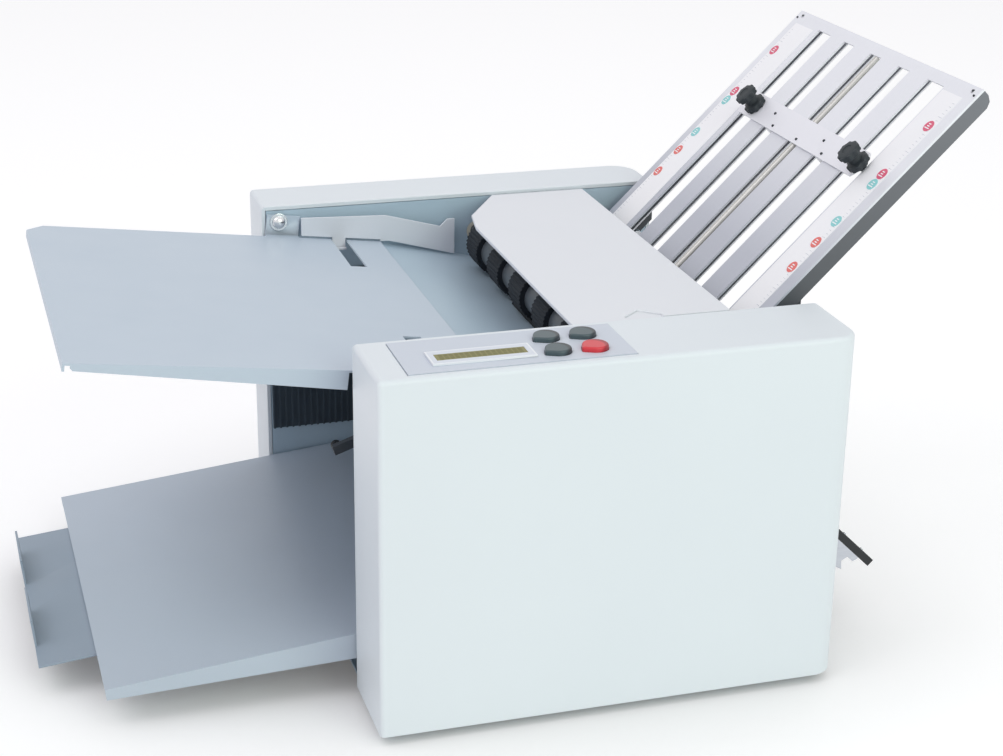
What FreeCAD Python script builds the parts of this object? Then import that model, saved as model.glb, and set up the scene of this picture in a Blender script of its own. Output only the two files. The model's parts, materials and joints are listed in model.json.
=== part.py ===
import FreeCAD, Part
import os
import re
import Sketcher

# Paper folding machine, in millimetres
# X runs from the trays towards the fold plates, Y from the front cover to the rear one, Z up from the table.
# The origin is on the table, under the middle of the whole machine.

SIZES = {
    "covers and frame": {
        "cover_length": 300,
        "cover_height": 230,
        "front_depth": 64,
        "throat_width": 294,
        "rear_depth": 50,
        "cover_wall": 3,
        "front_corner_round": 15,
        "rear_corner_round": 20,
        "edge_round": 3,
        "foot_height": 6,
        "foot_radius": 9,
        "foot_inset": 26,
        "pan_thickness": 2,
        "pan_lip": 10,
        "side_plate": 2.5,
        "seat_gap": 0.3,
        "fit_gap": 0.05,
        "overrun": 5,
        "rod_radius": 4,
        "rod_low_x": 110,
        "rod_low_z": 22,
        "rod_mid_x": 185,
        "rod_mid_z": 62,
        "rod_high_x": 120,
        "rod_high_z": 152,
        "standoff_inset": 40,
        "standoff_rise": 34,
        "standoff_drop": 38,
    },
    "control panel": {
        "panel_left": 19.5,
        "panel_length": 138.3,
        "panel_front": 6.6,
        "panel_width": 53,
        "panel_thickness": 1.6,
        "panel_recess": 1.2,
        "panel_ledge": 4,
        "bezel_left": 36.3,
        "bezel_length": 62.9,
        "bezel_front": 15.3,
        "bezel_width": 20.8,
        "bezel_rise": 1.4,
        "window_length": 55,
        "window_width": 10,
        "window_thickness": 1.6,
        "button_x": 125,
        "button_y": 32.5,
        "button_pitch": 22.9,
        "button_radius": 8,
        "button_tip_radius": 1.6,
        "button_reach": 8.4,
        "button_turn": 205,
        "button_rise": 3,
        "button_travel": 1.2,
        "board_length": 118,
        "board_width": 40,
        "board_thickness": 1.6,
        "boss_radius": 2.5,
        "boss_length": 8,
        "boss_inset": 5,
    },
    "feed tray and bed": {
        "tray_reach": 166.7,
        "tray_tip_z": 237.6,
        "tray_tilt": 7.1,
        "tray_width": 279.4,
        "tray_thickness": 1.5,
        "tray_end_x": 86,
        "tray_tip_flange": 4.7,
        "tray_root_flange": 12.5,
        "tray_lip": 3.6,
        "tray_flange_start": 4.6,
        "tray_corner": 12,
        "ear_left": 2,
        "ear_right": 26,
        "ear_top": 16,
        "ear_gap": 6,
        "stud_x": 11.8,
        "stud_z": 225,
        "stud_head_radius": 4.6,
        "stud_head_tip_radius": 2.4,
        "stud_head": 3.4,
        "stud_washer_radius": 6.4,
        "stud_washer": 0.8,
        "stud_shank_radius": 2,
        "bed_left_x": 87,
        "bed_left_z": 203.4,
        "bed_mid_x": 150,
        "bed_mid_z": 189.4,
        "bed_turn_x": 178,
        "bed_turn_z": 180.6,
        "bed_end_x": 199,
        "bed_end_z": 167.6,
        "bed_thickness": 1.5,
        "bed_flange_left": 96,
        "bed_flange_right": 146,
        "bed_flange": 14,
        "pad_length": 18,
        "pad_width": 60,
        "pad_thickness": 2.6,
    },
    "side guides": {
        "guide_thickness": 1.6,
        "guide_left": 27.5,
        "guide_right": 142.6,
        "guide_top": 228,
        "guide_step_x": 90,
        "guide_step_z": 225.6,
        "guide_dip_x": 131.5,
        "guide_dip_z": 214.2,
        "guide_hump_z": 219.4,
        "guide_rise": 1.2,
        "guide_window_left": 86,
        "guide_window_right": 107,
        "guide_window_low": 206,
        "guide_window_high": 215.6,
        "guide_foot_x": 50,
        "guide_foot_length": 10,
        "guide_foot_drop": 9,
        "guide_foot_plate": 5,
        "guide_slot_gap": 0.8,
        "guide_travel": 65,
    },
    "feed cover": {
        "lid_left": 138.4,
        "lid_right": 243.6,
        "lid_top": 234,
        "lid_thickness": 2.6,
        "lid_margin": 2.2,
        "lid_front_margin": 4.5,
        "lid_front_step": 2.2,
        "lid_chamfer_x": 29,
        "lid_chamfer_y": 47,
        "lid_nose": 5,
        "lid_hinge_x": 238,
        "lid_hinge_z": 226.6,
        "lid_pin_radius": 2.4,
        "lid_ear": 2.4,
        "lid_ear_length": 16,
        "lid_ear_drop": 9,
        "lid_pocket_x": 174.7,
        "lid_pocket_length": 24,
        "lid_pocket_side": 6.7,
        "lid_pocket_tip": 17,
        "lid_pocket_depth": 1.3,
    },
    "rollers and drive": {
        "drive_roller_x": 217,
        "drive_roller_z": 153.5,
        "roller_pitch": 28,
        "roller_radius": 13.85,
        "first_nip_turn": 105,
        "second_nip_turn": 15,
        "third_nip_turn": -80,
        "shaft_radius": 5,
        "roller_end_gap": 2,
        "shaft_front_y": 48,
        "shaft_rear_y": 384,
        "bush_radius": 8,
        "bush_flange_radius": 10,
        "bush_flange": 1.5,
        "gear_teeth": 28,
        "gear_root_radius": 12.6,
        "gear_tip_radius": 14.75,
        "gear_width": 8,
        "gear_root_tooth": 2.1,
        "gear_tip_tooth": 0.8,
        "gear_space": 1,
        "pulley_width": 8,
        "belt_thickness": 1.4,
        "belt_gap": 0.1,
        "belt_inset": 1,
        "feed_x": 162,
        "feed_wheel_radius": 17,
        "feed_wheel_width": 26,
        "feed_wheel_pitch": 52,
        "feed_wheel_count": 5,
        "feed_sleeve_radius": 13,
        "feed_drive_radius": 9,
        "feed_pulley_radius": 15,
        "exit_x": 70,
        "exit_z": 92,
        "exit_wheel_radius": 10,
        "exit_wheel_width": 18,
        "exit_wheel_pitch": 76,
        "exit_wheel_count": 4,
        "exit_drive_radius": 12.6,
        "exit_pulley_radius": 9,
        "idler_radius": 7,
        "idler_shaft_radius": 3,
        "motor_x": 150,
        "motor_z": 36,
        "motor_radius": 22,
        "motor_length": 62,
        "motor_boss_radius": 9,
        "motor_shaft_radius": 3,
        "motor_pulley_radius": 8,
        "drive_pulley_radius": 12,
    },
    "exit side": {
        "exit_bend_z": 42.5,
        "exit_tilt": 5.9,
        "exit_reach": 156.4,
        "exit_inner": 74,
        "exit_width": 290,
        "exit_thickness": 1.5,
        "exit_tip_flange": 7.3,
        "exit_root_flange": 17.2,
        "exit_pin_x": 56,
        "exit_pin_drop": 10,
        "pin_radius": 3,
        "pin_reach": 8,
        "slider_reach": 193.6,
        "slider_inner": 62,
        "slider_width": 190,
        "slider_thickness": 1.5,
        "slider_rail": 1.5,
        "slider_rail_lip": 5,
        "tab_length": 48,
        "tab_offset": 44,
        "tab_height": 20,
        "chute_left_x": 84,
        "chute_path_z": 105.7,
        "chute_right_x": 202,
        "chute_right_z": 135.4,
        "chute_half_gap": 2.6,
        "chute_thickness": 1.2,
        "liner_left": 4,
        "liner_right": 80,
        "liner_low": 64,
        "liner_high": 186,
        "liner_thickness": 1.5,
        "liner_rib": 1.4,
        "liner_rib_pitch": 4.7,
        "stacker_x": 64,
        "stacker_z": 172,
        "stacker_radius": 3,
        "stacker_arm_length": 70.5,
        "stacker_arm_height": 6,
        "stacker_arm_thickness": 5,
        "stacker_turn": 18.7,
        "stacker_offset": 101,
        "stacker_wheel_radius": 3.2,
        "stacker_wheel_width": 4,
        "stacker_pin_radius": 1.5,
        "stacker_collar": 6,
    },
    "upper fold plate": {
        "upper_edge_x": 410,
        "upper_edge_z": 363.4,
        "upper_tilt": 44.5,
        "upper_length": 256,
        "upper_flange": 11.5,
        "upper_flange_corner": 6,
        "upper_slot_start": 8.9,
        "upper_slot_end": 6,
        "upper_stop_from_edge": 91.6,
        "upper_stop_reach": 95,
        "upper_bracket_far": 88,
        "upper_bracket_near": 12,
        "upper_bracket_drop": 29,
        "upper_pin_near": 24,
        "upper_pin_far": 50,
        "guide_rod_radius": 2.7,
    },
    "lower fold plate": {
        "lower_start_x": 244.5,
        "lower_start_z": 137.2,
        "lower_tilt": 44.3,
        "lower_length": 131,
        "lower_flange": 8,
        "lower_lobe_x": 141,
        "lower_lobe_low": 3.4,
        "lower_lobe_high": 6.7,
        "lower_hook_x": 137.3,
        "lower_hook_low": 5.6,
        "lower_hook_dip": 1.3,
        "lower_rail_length": 151.5,
        "lower_rail_width": 6,
        "lower_rail_height": 5.5,
        "lower_slot_start": 10,
        "lower_slot_end": 8,
        "lower_stop_start": 78,
        "lower_bracket_far": 126,
        "lower_bracket_near": 14,
        "lower_bracket_drop": 27,
        "lower_pin_near": 30,
        "lower_pin_far": 70,
    },
    "both fold plates": {
        "plate_width": 268.4,
        "plate_thickness": 1.5,
        "path_depth": 6.2,
        "backing_thickness": 1.2,
        "slot_pitch": 41.2,
        "slot_width": 16,
        "rear_slot_width": 20,
        "front_slot_width": 22,
        "backing_slot_rear": 6,
        "backing_slot_front": 1.5,
        "backing_slot_end": 2.5,
        "corner_hole_radius": 1.6,
        "corner_hole_inset": 8,
        "bracket_thickness": 2,
        "notch_radius": 4.4,
        "plate_pin_radius": 4,
        "plate_pin_reach": 18,
        "stop_rise": 0.6,
        "stop_width": 20,
        "stop_thickness": 1.5,
        "pointer_length": 4,
        "finger_width": 9,
        "finger_thickness": 2,
        "finger_reach": 8.2,
        "knob_line": 10,
        "knob_shift": 7,
        "knob_radius": 8.2,
        "knob_base": 4.4,
        "knob_waist_radius": 4.8,
        "knob_waist": 5.2,
        "knob_head": 5.4,
        "knob_shank_radius": 2.4,
        "knob_shank": 12,
    },
    "power entry": {
        "supply_left": 175,
        "supply_length": 70,
        "supply_width": 26,
        "supply_height": 48,
        "supply_gap": 8,
        "inlet_y": 374,
        "inlet_z": 40,
        "inlet_width": 20,
        "inlet_height": 28,
        "inlet_depth": 24,
        "inlet_flange": 2,
        "inlet_flange_lip": 2.4,
        "pin_bay": 12,
        "rocker_z": 78,
        "rocker_width": 12,
        "rocker_height": 20,
        "rocker_depth": 9,
        "rocker_proud": 1.6,
        "rocker_gap": 0.9,
        "rocker_axle_radius": 1.2,
        "rocker_axle_reach": 2.2,
    },
}

doc = FreeCAD.newDocument("paper_folding_machine")
sheet = doc.addObject("Spreadsheet::Sheet", "Sheet")
row = 0
for group, sizes in SIZES.items():
    row += 1
    sheet.set(f"A{row}", group)
    for word, size in sizes.items():
        row += 1
        sheet.set(f"A{row}", word)
        sheet.set(f"B{row}", str(size))
        sheet.setAlias(f"B{row}", word)
doc.recompute()

nodes = {}


def bound(text):
    """The expression with the sheet's name before each of its size words."""
    return re.sub(r"\b([a-z]\w*)\b(?!\()", r"Sheet.\1", str(text))


def value(text):
    """What an expression comes to now, as a plain number."""
    return float(sheet.evalExpression(bound(text)))


def bind(item, **sizes):
    """Binds an object's properties to expressions in the sheet's words."""
    for field, text in sizes.items():
        item.setExpression(field, bound(text))
    return item


# Places that many pieces share
MIDDLE = "(front_depth + throat_width / 2)"
REAR_INNER = "(front_depth + throat_width)"
FRONT_OUTER = "(front_depth - side_plate)"
REAR_OUTER = "(front_depth + throat_width + side_plate)"
PAN_TOP = "(foot_height + pan_thickness)"
COVER_TOP = "(foot_height + cover_height)"
WHOLE_DEPTH = "(front_depth + throat_width + rear_depth)"
ORIGIN_X = "((upper_edge_x + upper_flange * sin(upper_tilt) - slider_reach) / 2)"
ORIGIN_Y = f"({WHOLE_DEPTH} / 2)"
PANEL_TOP = f"({COVER_TOP} - panel_recess + panel_thickness)"
PANEL_BASE = f"({COVER_TOP} - panel_recess)"


def nip_roller(turn):
    """Place of a roller that touches the drive roller in the given direction."""
    return (
        f"(drive_roller_x + roller_pitch * cos({turn}))",
        f"(drive_roller_z + roller_pitch * sin({turn}))",
    )


ROLLERS = {
    1: nip_roller("first_nip_turn"),
    2: ("drive_roller_x", "drive_roller_z"),
    3: nip_roller("second_nip_turn"),
    4: nip_roller("third_nip_turn"),
}
BED_SLOPE = "atan((bed_mid_z - bed_left_z) / (bed_mid_x - bed_left_x))"
BED_TURN_SLOPE = "atan((bed_turn_z - bed_mid_z) / (bed_turn_x - bed_mid_x))"
PAD_Z = f"(bed_mid_z + (feed_x - bed_mid_x) * tan({BED_TURN_SLOPE}))"
FEED_Z = f"({PAD_Z} + (pad_thickness + seat_gap + feed_wheel_radius) / cos({BED_TURN_SLOPE}))"
IDLER_Z = "(exit_z + exit_wheel_radius + seat_gap + idler_radius)"
TRAY_ROOT_Z = "(tray_tip_z - tray_reach * tan(tray_tilt))"
EXIT_PIN_Z = "(exit_bend_z + exit_pin_x * sin(exit_tilt) - exit_pin_drop * cos(exit_tilt))"
EXIT_PIN_X = "(exit_pin_x * cos(exit_tilt) + exit_pin_drop * sin(exit_tilt))"


def placed(item, x="0", y="0", z="0", turn="0", about="0; 1; 0"):
    """Binds an object's own Placement to a place and a turn about an axis."""
    bind(item, Placement=f"placement(vector({x}; {y}; {z}); rotation(vector({about}); {turn}))")
    return item


def node(name, item, x="0", y="0", z="0", turn="0"):
    """Makes an object the sub-part of that name, at a place in the machine."""
    item.Label = name
    nodes[name] = placed(item, f"{x} - {ORIGIN_X}", f"{y} - {ORIGIN_Y}", z, turn)
    return item


def block(x, y, z, length, width, height):
    """A box by its lowest corner and its sizes along X, Y and Z."""
    item = doc.addObject("Part::Box", "block")
    return placed(bind(item, Length=length, Width=width, Height=height), x, y, z)


def bar(radius, length, x, y, z):
    """A round bar that starts at a point and runs along Y."""
    item = bind(doc.addObject("Part::Cylinder", "bar"), Radius=radius, Height=length)
    return placed(item, x, y, z, "-90", "1; 0; 0")


def post(radius, height, x, y, z):
    """A round post that starts at a point and runs up along Z."""
    return placed(bind(doc.addObject("Part::Cylinder", "post"), Radius=radius, Height=height), x, y, z)


def joined(*items):
    """One solid of several that touch or overlap."""
    item = doc.addObject("Part::MultiFuse", "joined")
    item.Shapes = list(items)
    item.Refine = True
    return item


def group(*items):
    """Several separate solids kept together."""
    item = doc.addObject("Part::Compound", "group")
    item.Links = list(items)
    return item


def less(base, *tools):
    """A solid with others taken away from it."""
    item = doc.addObject("Part::Cut", "less")
    item.Base = base
    item.Tool = tools[0] if len(tools) == 1 else joined(*tools)
    return item


def new_sketch(body, plane):
    """An empty sketch on one of the body's own origin planes."""
    sketch = body.newObject("Sketcher::SketchObject", "sketch")
    base = next(item for item in body.Origin.OriginFeatures if item.Role == plane + "_Plane")
    sketch.AttachmentSupport = [(base, "")]
    sketch.MapMode = "FlatFace"
    return sketch


def fixed(sketch, kind, *rest):
    """Adds a dimension whose last entry is an expression."""
    index = sketch.addConstraint(Sketcher.Constraint(kind, *rest[:-1], value(rest[-1])))
    sketch.setExpression(f"Constraints[{index}]", bound(rest[-1]))


def add_outline(sketch, points):
    """A closed outline of straight lines, each corner tied to its two expressions."""
    corners = [FreeCAD.Vector(value(across), value(up), 0) for across, up in points]
    first = sketch.GeometryCount
    count = len(points)
    for index, corner in enumerate(corners):
        sketch.addGeometry(Part.LineSegment(corner, corners[(index + 1) % count]), False)
    for index in range(count):
        after = first + (index + 1) % count
        sketch.addConstraint(Sketcher.Constraint("Coincident", first + index, 2, after, 1))
    for index, (across, up) in enumerate(points):
        fixed(sketch, "DistanceX", -1, 1, first + index, 1, across)
        fixed(sketch, "DistanceY", -1, 1, first + index, 1, up)


def add_circle(sketch, across, up, radius):
    """A circle tied to the expressions of its centre and radius."""
    centre = FreeCAD.Vector(value(across), value(up), 0)
    index = sketch.addGeometry(Part.Circle(centre, FreeCAD.Vector(0, 0, 1), value(radius)), False)
    fixed(sketch, "DistanceX", -1, 1, index, 3, across)
    fixed(sketch, "DistanceY", -1, 1, index, 3, up)
    fixed(sketch, "Radius", index, radius)


def add_belt_loop(sketch, big, small, reach):
    """Two arcs and their outer tangents: the big arc round the origin, the small one to its left."""
    large = value(big)
    little = value(small)
    far = value(reach)
    lean = (large - little) / far
    rise = (1 - lean * lean) ** 0.5
    top = FreeCAD.Vector(-large * lean, large * rise, 0)
    tip_top = FreeCAD.Vector(-far - little * lean, little * rise, 0)
    low = FreeCAD.Vector(top.x, -top.y, 0)
    tip_low = FreeCAD.Vector(tip_top.x, -tip_top.y, 0)
    first = sketch.GeometryCount
    sketch.addGeometry(Part.Arc(low, FreeCAD.Vector(large, 0, 0), top), False)
    sketch.addGeometry(Part.LineSegment(top, tip_top), False)
    sketch.addGeometry(Part.Arc(tip_top, FreeCAD.Vector(-far - little, 0, 0), tip_low), False)
    sketch.addGeometry(Part.LineSegment(tip_low, low), False)
    sketch.addConstraint(Sketcher.Constraint("Coincident", first, 3, -1, 1))
    fixed(sketch, "Radius", first, big)
    fixed(sketch, "DistanceX", first + 2, 3, -1, 1, reach)
    sketch.addConstraint(Sketcher.Constraint("PointOnObject", first + 2, 3, -1))
    fixed(sketch, "Radius", first + 2, small)
    for line, end, arc, arc_end in ((1, 1, 0, 2), (1, 2, 2, 1), (3, 1, 2, 2), (3, 2, 0, 1)):
        sketch.addConstraint(Sketcher.Constraint("Tangent", first + line, end, first + arc, arc_end))


def pad(body, sketch, length, back=False):
    """Pads a sketch along the plane's normal, or back against it."""
    item = body.newObject("PartDesign::Pad", "pad")
    item.Profile = sketch
    bind(item, Length=length)
    item.Reversed = back
    sketch.Visibility = False
    return item


def padded(name, plane, length, outlines=(), circles=(), back=False):
    """A body made by one pad of outlines and round holes on an origin plane."""
    body = doc.addObject("PartDesign::Body", name)
    sketch = new_sketch(body, plane)
    for points in outlines:
        add_outline(sketch, points)
    for circle in circles:
        add_circle(sketch, *circle)
    pad(body, sketch, length, back)
    return body


def rectangle(left, low, right, high):
    """The four corners of an upright rectangle."""
    return [(left, low), (right, low), (right, high), (left, high)]


def rounded(body, radius, wanted):
    """Rounds the edges of a body's last feature that a test picks by their two ends."""
    doc.recompute()
    base = body.Tip
    picked = []
    for index, edge in enumerate(base.Shape.Edges, 1):
        ends = [vertex.Point for vertex in edge.Vertexes]
        if len(ends) == 2 and wanted(*ends):
            picked.append(f"Edge{index}")
    item = body.newObject("PartDesign::Fillet", "rounding")
    item.Base = (base, picked)
    bind(item, Radius=radius)
    doc.recompute()
    return item


def close(left, right):
    """Whether two numbers are the same place."""
    return round(left - right, 3) == 0


def along_z(start, end):
    """Whether an edge stands upright."""
    return close(start.x, end.x) and close(start.y, end.y)


def tub(name, depth, side, corner):
    """A cover's rounded tub, open to the throat and below, with side '' to the front and '-' to the rear."""
    body = doc.addObject("PartDesign::Body", name)
    outline = new_sketch(body, "XY")
    add_outline(outline, rectangle("0", "0", "cover_length", side + depth))
    pad(body, outline, "cover_height")
    doc.recompute()
    length = value("cover_length")
    height = value("cover_height")
    wall = value("cover_wall")
    inner = value(side + "cover_wall")
    mouth = value(side + depth)
    rounded(body, corner, lambda a, b: along_z(a, b) and close(a.x, length) and close(a.y, 0))
    rounded(body, "edge_round", lambda a, b: (
        (along_z(a, b) and close(a.x, 0) and close(a.y, 0))
        or (close(a.z, height) and close(b.z, height) and not (close(a.y, mouth) and close(b.y, mouth)))
    ))
    void = doc.addObject("PartDesign::Body", name + "_void")
    inside = new_sketch(void, "XY")
    add_outline(inside, rectangle(
        "cover_wall", side + "cover_wall", "cover_length - cover_wall", f"{side}({depth} + overrun)"))
    pad(void, inside, "cover_height - cover_wall")
    rounded(void, f"{corner} - cover_wall", lambda a, b: (
        along_z(a, b) and close(a.x, length - wall) and close(a.y, inner)))
    return less(body, void)


# Buttons and their holes share one outline, the hole a little larger
def teardrop(spread, height):
    """A drop-shaped prism with its round end at the origin, spread outwards by a gap."""
    body = doc.addObject("PartDesign::Body", "teardrop")
    sketch = new_sketch(body, "XY")
    add_belt_loop(sketch, f"button_radius + {spread}", f"button_tip_radius + {spread}", "button_reach")
    pad(body, sketch, height)
    return body


BUTTONS = {
    "button_rear_left": ("-1", "1"),
    "button_rear_right": ("1", "1"),
    "button_front_left": ("-1", "-1"),
    "button_front_right": ("1", "-1"),
}
BUTTON_PLACES = {
    name: (f"(button_x + {across} * button_pitch / 2)", f"(button_y + {back} * button_pitch / 2)")
    for name, (across, back) in BUTTONS.items()
}
BUTTON_BASE = f"({PANEL_TOP} - panel_thickness - button_travel)"


def make_front_cover():
    """The front tub with a recess and an opening for the control panel."""
    shell = tub("front_shell", "front_depth", "", "front_corner_round")
    recess = block(
        "panel_left - seat_gap", "panel_front - seat_gap", "cover_height - panel_recess",
        "panel_length + 2 * seat_gap", "panel_width + 2 * seat_gap", "panel_recess + overrun")
    opening = block(
        "panel_left + panel_ledge", "panel_front + panel_ledge", "cover_height - cover_wall - overrun",
        "panel_length - 2 * panel_ledge", "panel_width - 2 * panel_ledge", "cover_wall + 2 * overrun")
    node("front_cover", less(shell, recess, opening), z="foot_height")


def make_rear_cover():
    """The rear tub with openings for the power entry in its right end."""
    shell = tub("rear_shell", "rear_depth", "-", "rear_corner_round")
    hole_x = "cover_length - cover_wall - overrun"
    hole_depth = "cover_wall + 2 * overrun"
    inlet = block(
        hole_x, f"inlet_y - {WHOLE_DEPTH} - inlet_width / 2 - seat_gap",
        "inlet_z - foot_height - inlet_height / 2 - seat_gap",
        hole_depth, "inlet_width + 2 * seat_gap",
        "rocker_z - inlet_z + inlet_height / 2 + rocker_height / 2 + rocker_gap"
        " + inlet_flange_lip + 2 * seat_gap")
    node("rear_cover", less(shell, inlet), y=WHOLE_DEPTH, z="foot_height")


def shaft_places():
    """Every shaft that turns in the side plates, with its radius."""
    places = [(x, z, "shaft_radius") for x, z in ROLLERS.values()]
    places.append(("feed_x", FEED_Z, "shaft_radius"))
    places.append(("exit_x", "exit_z", "shaft_radius"))
    places.append(("exit_x", IDLER_Z, "idler_shaft_radius"))
    return places


TIE_RODS = [("rod_low_x", "rod_low_z"), ("rod_mid_x", "rod_mid_z"), ("rod_high_x", "rod_high_z")]


def on_plate(side, along, up):
    """Place in the machine of a point given along and square to a fold plate."""
    if side == "upper":
        return (
            f"(upper_edge_x - (upper_length - {along}) * cos(upper_tilt) - ({up}) * sin(upper_tilt))",
            f"(upper_edge_z - (upper_length - {along}) * sin(upper_tilt) + ({up}) * cos(upper_tilt))",
        )
    return (
        f"(lower_start_x + ({along}) * cos(lower_tilt) + ({up}) * sin(lower_tilt))",
        f"(lower_start_z - ({along}) * sin(lower_tilt) + ({up}) * cos(lower_tilt))",
    )


PLATE_PINS = [
    on_plate(side, f"{side}_pin_{where}", f"-{side}_bracket_drop")
    for side in ("upper", "lower")
    for where in ("near", "far")
]


def make_side_plate(name, outer):
    """One of the two plates that carry every shaft, standing on the base pan."""
    top = f"{COVER_TOP} - cover_wall - seat_gap"
    holes = [(x, z, "bush_radius + fit_gap") for x, z, radius in shaft_places()]
    holes += [(x, z, "rod_radius / 2 + fit_gap") for x, z in TIE_RODS]
    holes += [(x, z, "pin_radius + fit_gap") for x, z in PLATE_PINS]
    holes.append(("stacker_x", "stacker_z", "stacker_radius + fit_gap"))
    holes.append(("lid_hinge_x", "lid_hinge_z", "lid_pin_radius + fit_gap"))
    holes.append(("stud_x", "stud_z", "stud_shank_radius + fit_gap"))
    holes.append((EXIT_PIN_X, EXIT_PIN_Z, "pin_radius / 2 + fit_gap"))
    if name == "rear_side_plate":
        holes.append(("motor_x", "motor_z", "motor_boss_radius + seat_gap"))
    outline = rectangle("cover_wall + seat_gap", PAN_TOP, "cover_length - cover_wall - seat_gap", top)
    node(name, padded(name, "XZ", "side_plate", [outline], holes, back=True), y=outer)


def make_frame():
    """Base pan, feet, rods between the plates and the standoffs that carry the covers."""
    left = "cover_wall + seat_gap"
    length = "(cover_length - 2 * cover_wall - 2 * seat_gap)"
    front = "cover_wall + seat_gap"
    width = f"({WHOLE_DEPTH} - 2 * cover_wall - 2 * seat_gap)"
    corner = "front_corner_round"
    pan = padded("base_pan", "XY", "pan_thickness", [[
        (left, front),
        (f"{left} + {length} - {corner}", front),
        (f"{left} + {length}", f"{front} + {corner}"),
        (f"{left} + {length}", f"{front} + {width} - {corner}"),
        (f"{left} + {length} - {corner}", f"{front} + {width}"),
        (left, f"{front} + {width}"),
    ]])
    lip = block(
        f"{left} + {length} - {corner} - pan_thickness", "front_depth", "pan_thickness",
        "pan_thickness", "throat_width", "pan_lip")
    node("base_pan", joined(pan, lip), z="foot_height")
    feet = [
        post("foot_radius", "foot_height", x, y, "0")
        for x in ("foot_inset", "cover_length - foot_inset")
        for y in ("foot_inset", f"{WHOLE_DEPTH} - foot_inset")
    ]
    node("rubber_feet", group(*feet))
    rods = []
    for x, z in TIE_RODS:
        body = bar("rod_radius", "throat_width", x, "front_depth", z)
        ends = bar("rod_radius / 2", "throat_width + 2 * side_plate", x, FRONT_OUTER, z)
        rods.append(joined(body, ends))
    for x in ("standoff_inset", "cover_length - standoff_inset"):
        for z in ("standoff_rise", f"{COVER_TOP} - standoff_drop"):
            rods.append(bar("rod_radius", f"{FRONT_OUTER} - cover_wall", x, "cover_wall", z))
            rods.append(bar("rod_radius", "rear_depth - side_plate - cover_wall", x, REAR_OUTER, z))
    node("frame_rods", group(*rods))


def make_control_panel():
    """Panel plate with its raised display frame, board and four buttons."""
    plate = padded("panel_plate", "XY", "panel_thickness", [rectangle(
        "panel_left", "panel_front", "panel_left + panel_length", "panel_front + panel_width")])
    frame = block("bezel_left", "bezel_front", "0", "bezel_length", "bezel_width",
                  "panel_thickness + bezel_rise")
    window = block(
        "bezel_left + (bezel_length - window_length) / 2", "bezel_front + (bezel_width - window_width) / 2",
        "-overrun", "window_length", "window_width", "panel_thickness + bezel_rise + 2 * overrun")
    bosses = [
        post("boss_radius", "boss_length", x, y, "-boss_length")
        for x in ("panel_left + panel_ledge + boss_inset + seat_gap",
                  "panel_left + panel_length - panel_ledge - boss_inset - seat_gap")
        for y in ("panel_front + panel_ledge + boss_inset + seat_gap",
                  "panel_front + panel_width - panel_ledge - boss_inset - seat_gap")
    ]
    holes = []
    for x, y in BUTTON_PLACES.values():
        hole = teardrop("seat_gap", "panel_thickness + 2 * overrun")
        holes.append(placed(hole, x, y, "-overrun", "button_turn - 180", "0; 0; 1"))
    node("control_panel", less(joined(plate, frame, *bosses), window, *holes), z=PANEL_BASE)
    glass = padded("display_window", "XY", "window_thickness", [rectangle(
        "bezel_left + (bezel_length - window_length) / 2", "bezel_front + (bezel_width - window_width) / 2",
        "bezel_left + (bezel_length + window_length) / 2", "bezel_front + (bezel_width + window_width) / 2")])
    node("display_window", glass, z=f"{PANEL_TOP} - seat_gap")
    board = padded("panel_board", "XY", "board_thickness", [rectangle(
        "panel_left + (panel_length - board_length) / 2", "panel_front + (panel_width - board_width) / 2",
        "panel_left + (panel_length + board_length) / 2", "panel_front + (panel_width + board_width) / 2")])
    node("panel_board", board, z=f"{PANEL_BASE} - boss_length - board_thickness")
    for name, (x, y) in BUTTON_PLACES.items():
        cap = teardrop("0", "panel_thickness + button_travel + button_rise")
        switch = post("button_tip_radius", "boss_length - button_travel - button_travel - seat_gap",
                      "0", "0", "-boss_length + button_travel + button_travel + seat_gap")
        node(name, joined(cap, switch), x, y, BUTTON_BASE)
        bind(nodes[name], Placement=(
            f"placement(vector({x} - {ORIGIN_X}; {y} - {ORIGIN_Y}; {BUTTON_BASE});"
            f" rotation(vector(0; 0; 1); button_turn - 180))"))


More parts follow.
